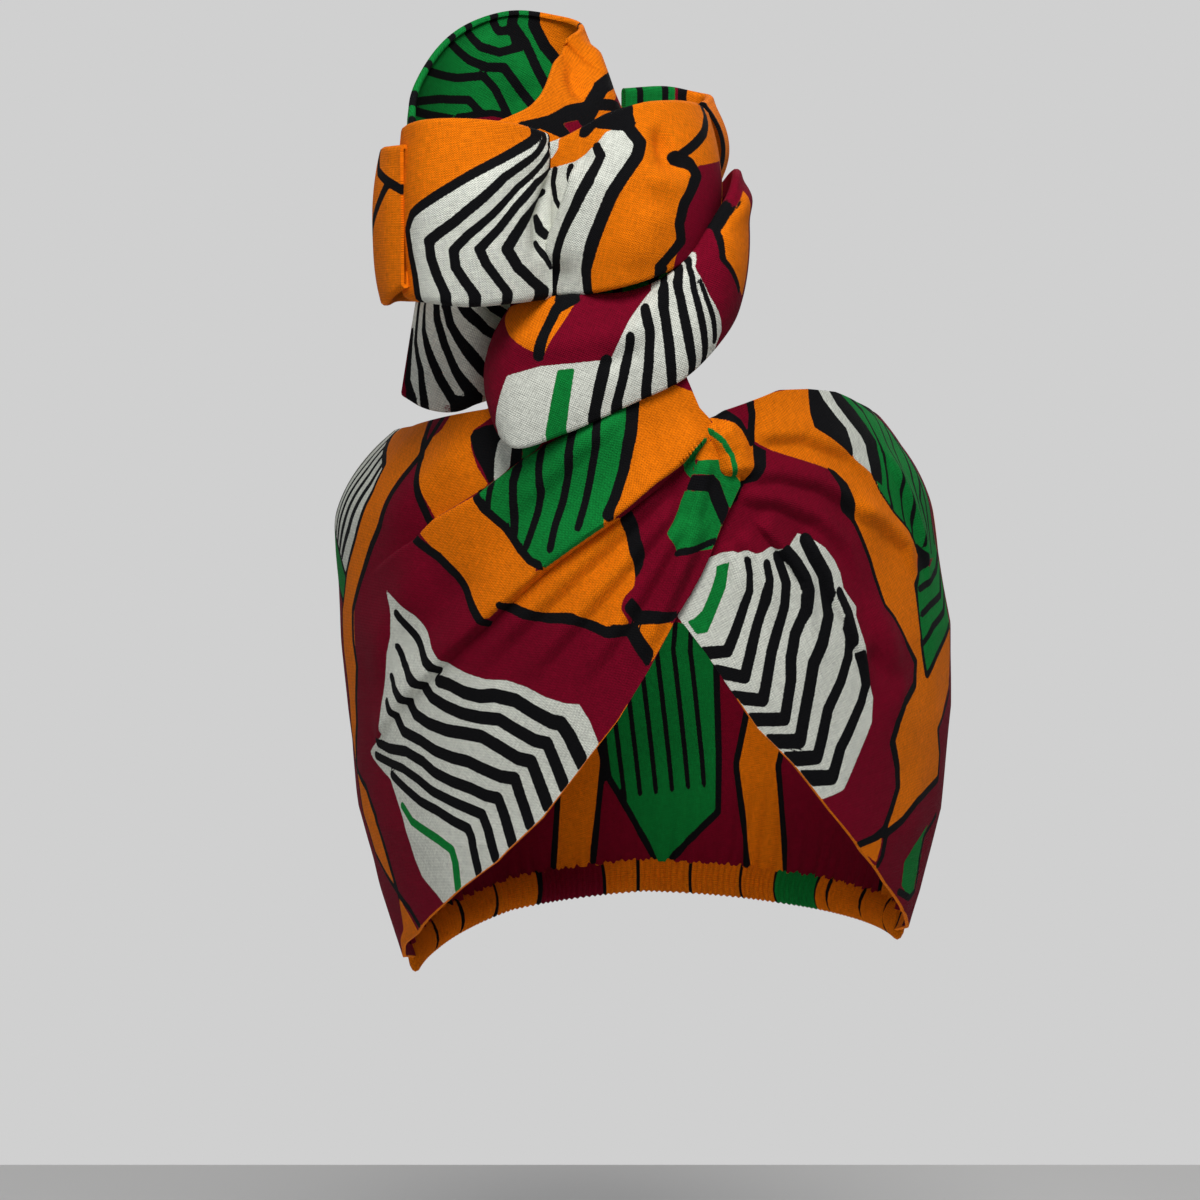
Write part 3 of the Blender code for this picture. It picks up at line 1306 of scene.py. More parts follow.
@dataclass
class ElasticPiece(ClothPiece):
    """Shirred casing at the back's lower edge: a flat tube drawn into fine gathers.

    `span` is in degrees round the band, `lap` how far the casing laps over the back
    panel, and the lengths are in millimetres.
    """

    span: tuple[float, float] = (94.3, 261.7)
    height: float = 10.6
    thickness: float = 3.2
    lap: float = 1.2
    puckers: int = 118
    pucker: float = 0.75

    LILTS = (3, 7, 13)
    LILT = 0.9
    SEED = 11
    CLOSING = 0.004
    FULLNESS = 1.5
    SMOOTHED = 80.0

    def surface(self, u: Array, v: Array) -> tuple[Array, Array, Array]:
        """Positions, outward directions and flat places of the casing.

        Args:
            u: Share of the length, on a grid.
            v: Share of the height, on the same grid.

        Returns:
            Positions, outward directions and flat places in millimetres.
        """
        edge = columns_of(BACK_EDGE, EDGE_COLUMNS)
        angle = self.span[0] + (self.span[1] - self.span[0]) * u
        high = np.interp(angle, edge["angle"], edge["low"]) + self.lap
        draw = np.random.default_rng(self.SEED)
        waves = (np.sin(2 * math.pi * k * u + draw.uniform(0, 6)) for k in self.LILTS)
        lilt = sum(waves) * self.LILT
        turn = 2 * math.pi * v
        wave = 0.5 + 0.5 * np.cos(2 * math.pi * self.puckers * u + lilt + 0.5 * np.sin(turn))
        deep = np.sin(turn) * (self.thickness / 2 + self.pucker * wave)
        tall = np.cos(turn) * (self.height / 2 - 0.5 * (1 - wave))
        end = np.minimum(smooth(0, self.CLOSING, u), 1 - smooth(1 - self.CLOSING, 1, u))
        centre = high - self.height / 2
        middle = band_point(angle, centre + np.maximum(tall, 0) * end, np.zeros_like(u))
        outward = band_outward(angle)
        points = middle + outward * (deep * end)[..., None]
        points[..., 2] = centre + tall * end
        along_casing = angle * MM_PER_DEGREE * self.FULLNESS
        around = (self.height + self.thickness) * v * 2
        return points, outward, np.stack((along_casing, around), axis=-1)

    def ease(self, u: Array, v: Array) -> Array:
        """Keeps the casing free of the cloth's own unevenness."""
        return np.zeros_like(u)

    def _wall(self, piece: bpy.types.Object) -> None:
        """Closes the tube along its length and at both ends.

        Args:
            piece: The object, which is the active one.
        """
        bpy.ops.object.mode_set(mode="EDIT")
        bpy.ops.mesh.select_all(action="SELECT")
        bpy.ops.mesh.remove_doubles(threshold=self.WELD * MM)
        bpy.ops.mesh.normals_make_consistent(inside=False)
        bpy.ops.object.mode_set(mode="OBJECT")
        bpy.ops.object.shade_smooth_by_angle(angle=math.radians(self.SMOOTHED))


# Prints, as outlines read in the picture or on the cloth


LEAF_OUTLINE: Points = (
    (-0.5, 0.04), (-0.36, 0.36), (-0.05, 0.5), (0.34, 0.44), (0.5, 0.05), (0.42, -0.42), (0.1, -0.5),
    (-0.36, -0.46),
)
LEAF_PITCH = 5.4
STRIP_EDGE = 2.4


def leaf(middle: tuple[float, float], turn: float, length: float, width: float) -> tuple[Motif, ...]:
    """White leaf with bent ink stripes and one green accent, on the cloth.

    Args:
        middle: Its middle in millimetres.
        turn: Degrees from level.
        length: Its length in millimetres.
        width: Its width in millimetres.

    Returns:
        Its motifs, in the order they are printed.
    """
    ahead = np.array((math.cos(math.radians(turn)), math.sin(math.radians(turn))))
    aside = np.array((-ahead[1], ahead[0]))

    def at(*places: tuple[float, float]) -> Points:
        """Places of the leaf, as shares of its length and width."""
        return tuple(tuple(np.array(middle) + a * length * ahead + b * width * aside) for a, b in places)

    made: list[Motif] = [Patch(Dye.WHITE, at(*LEAF_OUTLINE), on=On.CLOTH)]
    count = max(int(width / LEAF_PITCH), 3)
    for k in range(count):
        b = 0.38 - 0.68 * (k + 0.5) / count
        bend = 0.2 + 0.2 * b
        run = at((-0.42 + 0.3 * abs(b), b), (-0.05, b + 0.04), (bend, b), (0.4 - 0.3 * abs(b), b - 0.08))
        made.append(Line(run, 2.4, 2.0, on=On.CLOTH))
    made.append(Line(at((-0.3, -0.38), (0.08, -0.42)), 2.0, dye=Dye.GREEN, on=On.CLOTH))
    return tuple(made)


def strip(run: Points, width: float, dye: Dye = Dye.ORANGE) -> tuple[Motif, ...]:
    """Strip of one colour between two ink lines, on the cloth."""
    return (Line(run, width + 2 * STRIP_EDGE, on=On.CLOTH), Line(run, width, dye=dye, on=On.CLOTH))


def spread(first: Points, last: Points, count: int, width: float) -> tuple[Motif, ...]:
    """Ink lines spread evenly from one run to another, on the cloth.

    Args:
        first: Run of the first line.
        last: Run of the last line, with as many points.
        count: How many lines.
        width: Their width in millimetres.

    Returns:
        The lines.
    """
    made = []
    for share in np.linspace(0, 1, count):
        run = tuple(tuple(np.array(a) + (np.array(b) - np.array(a)) * share) for a, b in zip(first, last))
        made.append(Line(run, width, on=On.CLOTH))
    return tuple(made)


LEFT_WING_PRINT: tuple[Motif, ...] = (
    # Striped white field and green sliver at the far left
    Patch(Dye.WHITE, (
        (-152, 60), (-92, 60), (-88, 48), (-97, 36), (-109, 23), (-119.5, 15), (-128, 22), (-139, 28),
        (-152, 33),
    ), on=On.CLOTH),
    *spread(((-95, 57), (-101, 41), (-112, 28), (-122, 20)),
            ((-113, 57), (-117, 46), (-123, 36), (-131, 26)), 4, 2.2),
    *spread(((-122, 57), (-125, 46), (-130, 37), (-138, 30)),
            ((-144, 57), (-145, 48), (-147, 41), (-151, 35)), 3, 2.6),
    Patch(Dye.GREEN, (
        (-152, 33), (-139, 28), (-128, 22), (-118, 14), (-123, 6), (-134, 10), (-152, 14),
    ), 1.8, on=On.CLOTH),
    # Orange band down the left side
    Patch(Dye.ORANGE, (
        (382, 440), (386, 467), (374, 492), (363, 517), (356, 540), (347, 572), (343, 610), (341, 654),
        (344, 702), (350, 749), (361, 796), (375, 855), (401, 893), (389, 862), (377, 815), (368, 787),
        (358, 768), (356, 725), (356, 702), (358, 666), (355, 643), (355, 614), (358, 592), (366, 562),
        (379, 531), (391, 499), (406, 474), (423, 453), (422, 415), (400, 420),
    )),
    Line(((382, 438), (386, 467), (374, 492), (363, 517), (356, 540), (347, 572), (343, 610)), 2.0, 1.2),
    Line(((343, 610), (341, 654), (344, 702), (350, 749), (361, 796), (375, 855), (401, 893)), 1.2, 2.2),
    Line(((423, 455), (407, 478), (398, 492), (384, 524), (373, 546), (362, 580), (355, 610), (355, 640)),
         2.4, 2.2),
    Line(((355, 640), (358, 666), (357, 702), (357, 725), (358, 768), (368, 787), (377, 815), (389, 862)),
         2.2, 2.6),
    Line(((389, 862), (400, 893), (411, 909), (424, 930)), 2.6),
    Line(((400, 893), (406, 914), (409, 940)), 2.4),
    Patch(Dye.ORANGE, ((401, 898), (410, 912), (419, 930), (408, 960), (404, 930))),
    # Crossing of two outlines at the top
    Patch(Dye.ORANGE, (
        (452, 404), (443, 431), (432, 440), (425, 449), (424, 467), (427, 487), (432, 505), (438, 522),
        (490, 485), (479, 467), (473, 446), (474, 431), (492, 418), (500, 404),
    )),
    Line(((426, 412), (425, 440), (424, 460)), 2.8),
    Line(((446, 416), (434, 435), (426, 449)), 2.4),
    Line(((424, 453), (424, 485), (431, 520), (436, 526)), 2.6),
    Patch(Dye.INK, (
        (472, 437), (475, 431), (486, 426), (498, 424), (506, 444), (496, 460), (495, 483), (490, 483),
        (484, 469), (477, 456),
    )),
    Patch(Dye.WHITE, ((500, 440), (514, 440), (511, 467), (506, 474), (497, 482), (496, 460))),
    Patch(Dye.INK, ((514, 440), (524, 440), (523, 460), (511, 470))),
    Patch(Dye.GREEN, ((524, 440), (545, 440), (536, 453), (524, 462))),
    # Orange below the pleats
    Patch(Dye.ORANGE, (
        (429, 532), (441, 521), (479, 498), (486, 496), (520, 540), (543, 569), (514, 597), (493, 617),
        (475, 603), (463, 580), (449, 558),
    )),
    Line(((424, 538), (445, 556), (459, 574), (472, 596), (490, 621)), 2.7),
    Patch(Dye.ORANGE, (
        (546, 566), (581, 541), (612, 516), (622, 516), (630, 540), (636, 566), (636, 586), (626, 596),
        (622, 607), (629, 623), (611, 629), (590, 620), (570, 616), (540, 614), (510, 602), (522, 588),
    )),
    Line(((508, 605), (526, 612), (550, 618), (575, 618), (594, 626), (608, 632), (632, 628)), 2.8),
    # Green diamond with upright stripes
    Patch(Dye.ORANGE, (
        (632, 398), (640, 372), (716, 360), (716, 432), (704, 446), (685, 459), (655, 481), (631, 503),
        (606, 524), (618, 490),
    )),
    Patch(Dye.GREEN, (
        (482, 495), (498, 481), (525, 462), (542, 451), (566, 437), (596, 418), (600, 400), (636, 380),
        (630, 431), (618, 490), (606, 524), (581, 542), (549, 566), (523, 548), (509, 525),
    )),
    Line(((500, 482), (497, 490), (494, 507)), 1.6, 1.8),
    Line(((525, 464), (520, 481), (519, 500), (518, 532)), 2.5),
    Line(((548, 447), (545, 466), (545, 490), (541, 512), (531, 546)), 2.1),
    Line(((578, 426), (574, 450), (571, 474), (566, 500), (559, 525), (556, 548)), 2.1, 2.2),
    Line(((601, 404), (598, 444), (593, 474), (588, 503), (583, 527)), 2.0, 2.1),
    Line(((634, 386), (631, 431), (625, 470), (618, 497), (611, 514)), 3.6, 2.6),
    Line(((483, 494), (490, 507), (509, 526), (524, 548), (536, 560), (545, 564)), 2.6, 2.2),
    # Ink between orange and crimson right of the fold
    Patch(Dye.INK, (
        (620, 516), (632, 508), (640, 529), (645, 555), (644, 566), (637, 580), (634, 566), (628, 540),
    )),
    Patch(Dye.ORANGE, ((632, 622), (674, 622), (652, 662))),
    Patch(Dye.INK, (
        (633, 596), (627, 604), (625, 609), (633, 620), (638, 625), (674, 625), (680, 611), (642, 610),
    )),
    Patch(Dye.INK, ((613, 624), (636, 622), (655, 654), (647, 668), (627, 636), (611, 634))),
    # Gathered middle: green hexagon, ink chevron and thin strips
    Patch(Dye.ORANGE, (
        (688, 457), (696, 444), (722, 438), (746, 448), (754, 470), (750, 489), (722, 459), (700, 461),
    )),
    Patch(Dye.GREEN, ((682, 461), (692, 447), (704, 436), (705, 441), (697, 452), (691, 478), (685, 472))),
    Patch(Dye.GREEN, (
        (698, 461), (722, 459), (752, 488), (750, 514), (737, 513), (719, 481), (712, 474), (692, 474),
    )),
    Patch(Dye.INK, (
        (686, 490), (692, 475), (712, 474), (719, 481), (738, 513), (731, 531), (706, 491),
    )),
    Patch(Dye.GREEN, ((685, 491), (706, 491), (731, 529), (717, 551), (677, 551), (667, 533))),
    Line(((677, 553), (716, 553)), 1.8),
    # White leaf with ink stripes
    Patch(Dye.WHITE, (
        (392, 589), (405, 599), (419, 614), (431, 636), (437, 647), (450, 663), (466, 672), (486, 679),
        (507, 680), (526, 686), (547, 697), (566, 703), (580, 704), (590, 720), (600, 745), (560, 800),
        (500, 865), (448, 908), (438, 893), (424, 876), (417, 860), (410, 838), (403, 815), (397, 794),
        (392, 779), (385, 771), (375, 758), (372, 752), (375, 746), (381, 739), (385, 733), (386, 720),
        (386, 702), (389, 678), (392, 654), (397, 635), (399, 614), (398, 605),
    )),
    Line(((405, 613), (412, 627), (423, 647), (432, 661), (440, 668)), 2.6, 3.0),
    Line(((401, 646), (406, 663), (415, 676), (426, 685)), 2.2, 3.5),
    Line(((395, 676), (399, 688), (406, 697), (412, 702)), 2.2, 3.4),
    Line(((392, 701), (395, 708), (398, 713)), 2.2, 2.9),
    Line(((440, 681), (450, 684), (465, 692), (481, 696), (495, 695), (516, 700), (535, 712), (552, 721),
          (562, 723), (570, 735), (584, 764)), 3.5, 4.3),
    Line(((427, 688), (433, 697), (447, 706), (463, 713), (481, 717), (500, 719), (516, 729), (535, 740),
          (548, 743), (554, 758), (566, 789)), 3.4, 3.8),
    Line(((412, 704), (417, 714), (430, 723), (448, 730), (467, 733), (483, 736), (500, 746), (519, 758),
          (532, 761), (538, 777), (549, 806)), 3.4, 3.9),
    Line(((399, 717), (405, 731), (422, 740), (436, 750), (453, 757), (469, 761), (483, 768), (502, 776),
          (516, 778), (521, 794), (531, 824)), 3.3, 3.7),
    Line(((380, 742), (391, 748), (408, 751), (424, 761), (436, 772), (453, 781), (472, 788), (486, 795),
          (499, 798), (505, 815), (514, 845)), 2.9, 3.7),
    Line(((378, 755), (391, 762), (405, 768), (420, 779), (434, 791), (453, 801), (469, 808), (483, 814),
          (489, 829), (498, 860)), 2.5, 3.4),
    Line(((394, 775), (408, 789), (422, 801), (438, 810), (455, 821), (469, 828), (473, 838), (481, 875)),
         2.8, 3.2),
    Line(((404, 806), (413, 821), (424, 829), (438, 838), (453, 849), (457, 862), (461, 895)), 2.5, 3.0,
         dye=Dye.GREEN),
)

LEFT_WING_FOLDS: tuple[Fold, ...] = (
    Fold(((625, 401), (566, 437), (525, 462), (484, 494), (441, 519), (420, 541), (366, 580)), 3.4, 14.0,
         Shape.PLEAT, 0.05, 0.4),
    Fold(((392, 717), (410, 697), (443, 664), (491, 620), (547, 569), (619, 516), (681, 462), (704, 440)),
         3.8, 9.0, Shape.PLEAT, 0.4, 0.03),
    Fold(((378, 745), (391, 723), (408, 700), (428, 681), (444, 663)), 1.6, 6.0, Shape.PLEAT, 0.2, 0.2),
    Fold(((470, 682), (510, 640), (560, 592), (618, 538), (672, 482)), 2.5, 5.0, Shape.SOFT, 0.3, 0.1),
    Fold(((520, 690), (560, 645), (600, 598), (640, 553), (680, 505)), 2.7, 4.6, Shape.SOFT, 0.3, 0.1),
    Fold(((580, 690), (612, 645), (640, 600), (664, 560), (688, 520)), 2.6, 4.2, Shape.SOFT, 0.3, 0.1),
    Fold(((632, 676), (655, 635), (675, 595), (694, 555), (706, 520)), 2.3, 3.8, Shape.SOFT, 0.3, 0.1),
    Fold(((668, 610), (686, 560), (700, 510), (712, 455)), 2.3, 3.6, Shape.SOFT, 0.3, 0.1),
    Fold(((505, 525), (545, 490), (600, 440), (650, 395)), 1.7, 6.0, Shape.SOFT, 0.4, 0.2),
    Fold(((549, 568), (581, 542), (606, 525), (631, 504), (655, 482), (683, 460), (703, 442)), 1.8, 5.0,
         Shape.PLEAT, 0.4, 0.2),
    Fold(((480, 440), (440, 470), (405, 510), (375, 560)), 2.2, 7.0, rise=0.2, fall=0.5),
    Fold(((500, 560), (450, 600), (410, 650), (385, 700)), -1.6, 6.0, rise=0.3, fall=0.4),
    Fold(((440, 560), (400, 620), (370, 690)), 2.0, 9.0, rise=0.3, fall=0.4),
)

RIGHT_WING_PRINT: tuple[Motif, ...] = (
    # Green striped field at the right shoulder
    Patch(Dye.GREEN, (
        (838, 380), (842, 409), (858, 428), (867, 443), (870, 460), (872, 476), (877, 491), (890, 512),
        (902, 527), (911, 539), (917, 552), (925, 561), (940, 560), (945, 500), (925, 420), (880, 385),
    )),
    Line(((852, 388), (862, 412), (874, 436), (881, 456), (886, 489), (890, 508)), 1.3),
    Line(((862, 390), (876, 418), (884, 443), (892, 464), (898, 487), (902, 524)), 1.3),
    Line(((873, 395), (888, 424), (894, 449), (901, 475), (907, 502), (911, 534)), 1.4),
    Line(((884, 402), (897, 429), (904, 455), (911, 483), (916, 512), (919, 544)), 1.5),
    Line(((895, 411), (907, 439), (914, 470), (920, 500), (924, 525), (927, 552)), 1.6),
    Line(((905, 428), (916, 462), (923, 495), (929, 525), (932, 553)), 1.8),
    Line(((914, 440), (924, 475), (932, 510), (937, 545)), 2.0),
    # White strip and ink patch on the shoulder
    Patch(Dye.WHITE, (
        (811, 378), (832, 378), (838, 405), (851, 422), (862, 434), (867, 447), (869, 460), (872, 478),
        (852, 463), (846, 450), (843, 430), (832, 416), (821, 401),
    )),
    Patch(Dye.INK, (
        (829, 376), (840, 376), (851, 408), (865, 426), (874, 441), (878, 460), (880, 486), (869, 477),
        (866, 460), (864, 446), (859, 436), (848, 422), (835, 405),
    )),
    Patch(Dye.INK, (
        (806, 380), (814, 384), (822, 401), (833, 416), (844, 429), (847, 443), (849, 459), (840, 450),
        (823, 437), (809, 428), (806, 414),
    )),
    # Orange band from the knot down the right side
    Patch(Dye.ORANGE, (
        (754, 385), (807, 378), (807, 414), (809, 428), (823, 437), (842, 451), (855, 463), (869, 474),
        (877, 491), (890, 512), (902, 527), (911, 539), (916, 552), (913, 566), (914, 587), (917, 610),
        (921, 635), (924, 663), (926, 675), (934, 656), (940, 648), (948, 629), (958, 640), (956, 690),
        (946, 705), (938, 728), (939, 754), (936, 778), (915, 801), (901, 820), (884, 834), (882, 830),
        (890, 809), (897, 787), (896, 767), (891, 742), (895, 722), (901, 701), (913, 685), (915, 660),
        (905, 644), (892, 619), (882, 606), (877, 587), (869, 562), (861, 543), (853, 527), (850, 515),
        (845, 495), (838, 478), (823, 469), (800, 461), (770, 451), (752, 441), (751, 415),
    )),
    Patch(Dye.INK, (
        (822, 467), (832, 472), (843, 484), (850, 505), (853, 520), (854, 529), (848, 520), (840, 512),
        (836, 498), (832, 484),
    )),
    Line(((852, 522), (861, 543), (869, 562), (877, 587), (882, 606), (892, 619), (905, 644)), 1.6, 1.4),
    Line(((905, 644), (915, 662), (913, 685), (901, 701)), 1.6, 3.2),
    Line(((901, 701), (895, 722), (891, 742), (896, 767), (897, 787), (890, 809), (882, 830)), 3.0, 2.4),
    Line(((882, 830), (872, 839), (856, 846)), 2.8),
    Line(((869, 474), (877, 491), (890, 512), (902, 527), (911, 539), (916, 552)), 0.7, 1.6),
    Line(((916, 550), (925, 561), (918, 573)), 3.4),
    Line(((917, 560), (913, 585), (917, 610), (921, 640), (925, 674)), 2.4, 2.0),
    # Second green field with curved lines
    Patch(Dye.GREEN, (
        (918, 573), (926, 565), (944, 560), (958, 600), (949, 629), (940, 648), (934, 656), (926, 675),
        (921, 635), (917, 610), (915, 587),
    )),
    Line(((917, 589), (926, 583), (937, 572), (943, 560)), 2.0),
    Line(((920, 614), (928, 606), (941, 596), (950, 580)), 2.0),
    Line(((923, 642), (932, 627), (944, 613), (953, 600)), 2.0),
    Line(((926, 675), (934, 656), (940, 648), (950, 628)), 2.0),
    Line(((956, 686), (948, 692), (937, 729), (939, 754), (936, 779)), 1.8),
    Line(((936, 779), (915, 801), (901, 820), (883, 834)), 2.4),
    Line(((884, 834), (880, 856), (876, 864)), 2.2),
    Patch(Dye.ORANGE, ((857, 848), (880, 838), (878, 848), (874, 862))),
    # Third green field, low on the right
    Patch(Dye.GREEN, (
        (930, 824), (923, 840), (920, 856), (915, 881), (912, 897), (905, 895), (900, 885), (903, 862),
        (913, 844),
    )),
    Line(((934, 815), (925, 836), (920, 858), (913, 890), (907, 899), (897, 891)), 2.0),
    # Corner by the knot
    Line(((706, 412), (725, 415), (737, 424), (747, 443)), 2.6),
    Line(((748, 388), (751, 414), (749, 441)), 2.6),
    Patch(Dye.ORANGE, (
        (690, 410), (704, 416), (716, 419), (731, 424), (738, 430), (745, 446), (750, 447), (748, 466),
        (744, 480), (731, 483), (720, 470), (700, 440),
    )),
    Line(((708, 430), (719, 440), (727, 455), (731, 474)), 1.2, 1.5, dye=Dye.GREEN),
    Patch(Dye.INK, (
        (750, 443), (764, 451), (762, 466), (754, 480), (743, 484), (737, 500), (729, 508), (731, 483),
        (744, 480), (748, 466),
    )),
    # White field with bent ink stripes
    Patch(Dye.WHITE, (
        (676, 614), (691, 594), (700, 574), (708, 558), (722, 552), (732, 551), (736, 553), (745, 549),
        (752, 553), (758, 553), (770, 546), (777, 548), (785, 546), (797, 533), (804, 536), (821, 548),
        (831, 560), (837, 573), (839, 588), (843, 594), (853, 607), (851, 615), (854, 627), (859, 646),
        (866, 679), (871, 697), (870, 722), (860, 748), (850, 771), (842, 789), (833, 794), (818, 800),
        (768, 744), (719, 677), (696, 646),
    )),
    Line(((746, 560), (748, 573), (748, 590), (741, 613), (734, 634), (727, 651), (704, 653)), 2.4, 3.5),
    Line(((764, 564), (767, 579), (764, 600), (756, 627), (751, 648), (744, 677), (716, 677)), 2.8, 3.6),
    Line(((776, 556), (781, 571), (785, 583), (783, 606), (777, 629), (771, 652), (766, 680), (762, 700),
          (733, 698)), 3.2, 3.6),
    Line(((783, 551), (793, 562), (801, 576), (806, 590), (804, 610), (794, 634), (790, 657), (790, 680),
          (784, 719), (750, 719)), 3.3, 3.7),
    Line(((804, 541), (811, 558), (821, 575), (824, 596), (827, 615), (821, 642), (812, 663), (808, 691),
          (799, 741), (768, 741)), 4.2, 4.0),
    Line(((834, 592), (843, 612), (848, 636), (847, 657), (840, 681), (827, 709), (816, 757), (785, 759)),
         3.0, 4.2),
    Line(((857, 654), (861, 668), (864, 684), (860, 702), (850, 726), (839, 748), (831, 777), (800, 778)),
         2.8, 4.6),
    Patch(Dye.GREEN, (
        (716, 566), (729, 561), (725, 587), (716, 610), (707, 632), (696, 634), (687, 621), (694, 618),
        (702, 610), (711, 588), (715, 575),
    )),
    # Round towards the nape, out of the picture
    *strip(((150, -92), (140, -60), (146, -20), (138, 20), (146, 60)), 9.0),
)

RIGHT_WING_FOLDS: tuple[Fold, ...] = (
    Fold(((800, 530), (815, 566), (828, 596), (840, 620), (850, 642), (858, 660), (866, 700)), 2.2, 6.0,
         Shape.PLEAT, 0.15, 0.35),
    Fold(((754, 522), (777, 548), (800, 580), (804, 610), (806, 640)), 2.2, 4.5, Shape.PLEAT, 0.1, 0.4),
    Fold(((735, 536), (752, 562), (764, 600), (768, 640)), 1.8, 4.0, Shape.SOFT, 0.1, 0.5),
    Fold(((722, 546), (734, 575), (738, 610)), 1.5, 3.6, Shape.SOFT, 0.1, 0.5),
    Fold(((738, 500), (775, 504), (812, 520), (842, 548), (860, 590)), 2.8, 5.0, Shape.SOFT, 0.1, 0.5),
    Fold(((742, 480), (775, 477), (815, 486), (850, 508), (880, 550)), 2.6, 6.0, Shape.SOFT, 0.1, 0.5),
    Fold(((754, 440), (800, 438), (846, 458), (880, 500)), 2.2, 7.0, Shape.SOFT, 0.1, 0.5),
    Fold(((846, 508), (874, 522), (900, 546), (916, 590)), 3.0, 5.0, Shape.SOFT, 0.2, 0.4),
    Fold(((872, 440), (900, 490), (920, 550), (930, 600)), 2.4, 6.0, Shape.SOFT, 0.3, 0.4),
    Fold(((862, 590), (885, 640), (892, 690), (885, 740)), 2.2, 6.0, rise=0.3, fall=0.4),
    Fold(((862, 645), (880, 668), (900, 690)), -1.7, 4.0, rise=0.3, fall=0.3),
    Fold(((720, 420), (736, 446), (742, 478)), 4.2, 3.4, rise=0.2, fall=0.2),
    Fold(((706, 414), (722, 450), (728, 480)), 3.6, 2.6, rise=0.2, fall=0.2),
)

BACK_PRINT: tuple[Motif, ...] = (
    *strip(((176, -92), (184, -50), (176, -10), (188, 30), (182, 62)), 13.0),
    *leaf((216, -22), 78.0, 84.0, 40.0),
    *strip(((246, -92), (256, -55), (248, -18), (262, 20), (256, 62)), 14.0),
    Patch(Dye.GREEN, ((270, -70), (292, -88), (312, -60), (318, -10), (306, 30), (288, 40), (274, 0)), 2.4,
          on=On.CLOTH),
    *spread(((276, -62), (282, -20), (280, 22)), ((306, -66), (312, -20), (302, 26)), 6, 1.8),
    *strip(((330, -95), (322, -55), (336, -15), (326, 25), (334, 62)), 14.0),
    *leaf((366, -26), 106.0, 86.0, 38.0),
    *strip(((398, -98), (408, -60), (398, -20), (408, 20), (400, 62)), 13.0),
)

LOWER_WRAP_PRINT: tuple[Motif, ...] = (
    Patch(Dye.ORANGE, ((508, 288), (578, 288), (545, 356), (528, 349), (511, 336), (500, 315))),
    Line(((576, 290), (557, 310), (548, 330), (540, 356)), 2.8),
    Patch(Dye.WHITE, (
        (508, 376), (542, 366), (574, 363), (610, 359), (617, 344), (631, 321), (654, 290), (672, 258),
        (687, 241), (694.5, 270), (709, 297), (719, 318), (720, 331), (714, 345), (694, 372), (660, 400),
        (600, 430), (540, 455), (502, 450), (498, 425),
    )),
    Patch(Dye.GREEN, ((558, 370), (575, 368), (567, 422), (562, 445), (540, 448), (547, 425))),
    Patch(Dye.GREEN, ((505, 441), (531, 430), (544, 430), (537, 441), (514, 448))),
    Line(((606, 360), (600, 385), (591, 425)), 3.2, 2.8),
    Line(((631, 338), (627, 362), (622, 382), (612, 418)), 2.5),
    Line(((647, 311), (650, 333), (649, 362), (645, 402)), 2.5),
    Line(((666, 288), (664, 309), (669, 344), (672, 388)), 2.4),
    Line(((680, 266), (678, 288), (684, 318), (689, 345), (691, 376)), 1.8, 2.3),
    Line(((685, 248), (689, 268), (693, 290), (701, 322), (703, 356)), 1.0, 2.1),
    Line(((699, 281), (706, 300), (712, 320), (713, 340)), 1.0, 1.8),
    Patch(Dye.ORANGE, ((740, 192), (754, 230), (748, 296), (739, 290), (722, 262), (716, 236), (728, 216))),
    Line(((738, 202), (727, 216), (716, 234)), 0.5, 1.0),
    Line(((716, 234), (720, 260), (738, 290)), 1.4, 1.6),
    *strip(((96, 84), (110, 100), (112, 124)), 9.0),
    *leaf((150, 90), 8.0, 44.0, 22.0),
    *strip(((182, 62), (190, 82), (186, 102)), 8.0),
)

TAIL_PRINT: tuple[Motif, ...] = (
    Patch(Dye.WHITE, ((395, 280), (510, 280), (510, 430), (395, 430))),
    Line(((414, 330), (409, 381), (419, 414)), 1.2, 3.2),
    Line(((423, 296), (417, 341), (422, 370), (431, 394), (444, 416)), 1.4, 2.8),
    Line(((428, 294), (425, 330), (431, 356), (441, 379), (454, 400), (465, 418)), 1.4, 3.2),
    Line(((438, 294), (438, 319), (445, 344), (456, 370), (474, 396), (486, 418)), 1.8, 3.2),
    Line(((445, 294), (451, 324), (465, 347), (482, 370), (496, 388)), 2.4, 3.0),
    Line(((456, 292), (468, 313), (485, 330), (502, 341)), 2.8),
    Line(((476, 292), (491, 307), (508, 317)), 3.0),
)

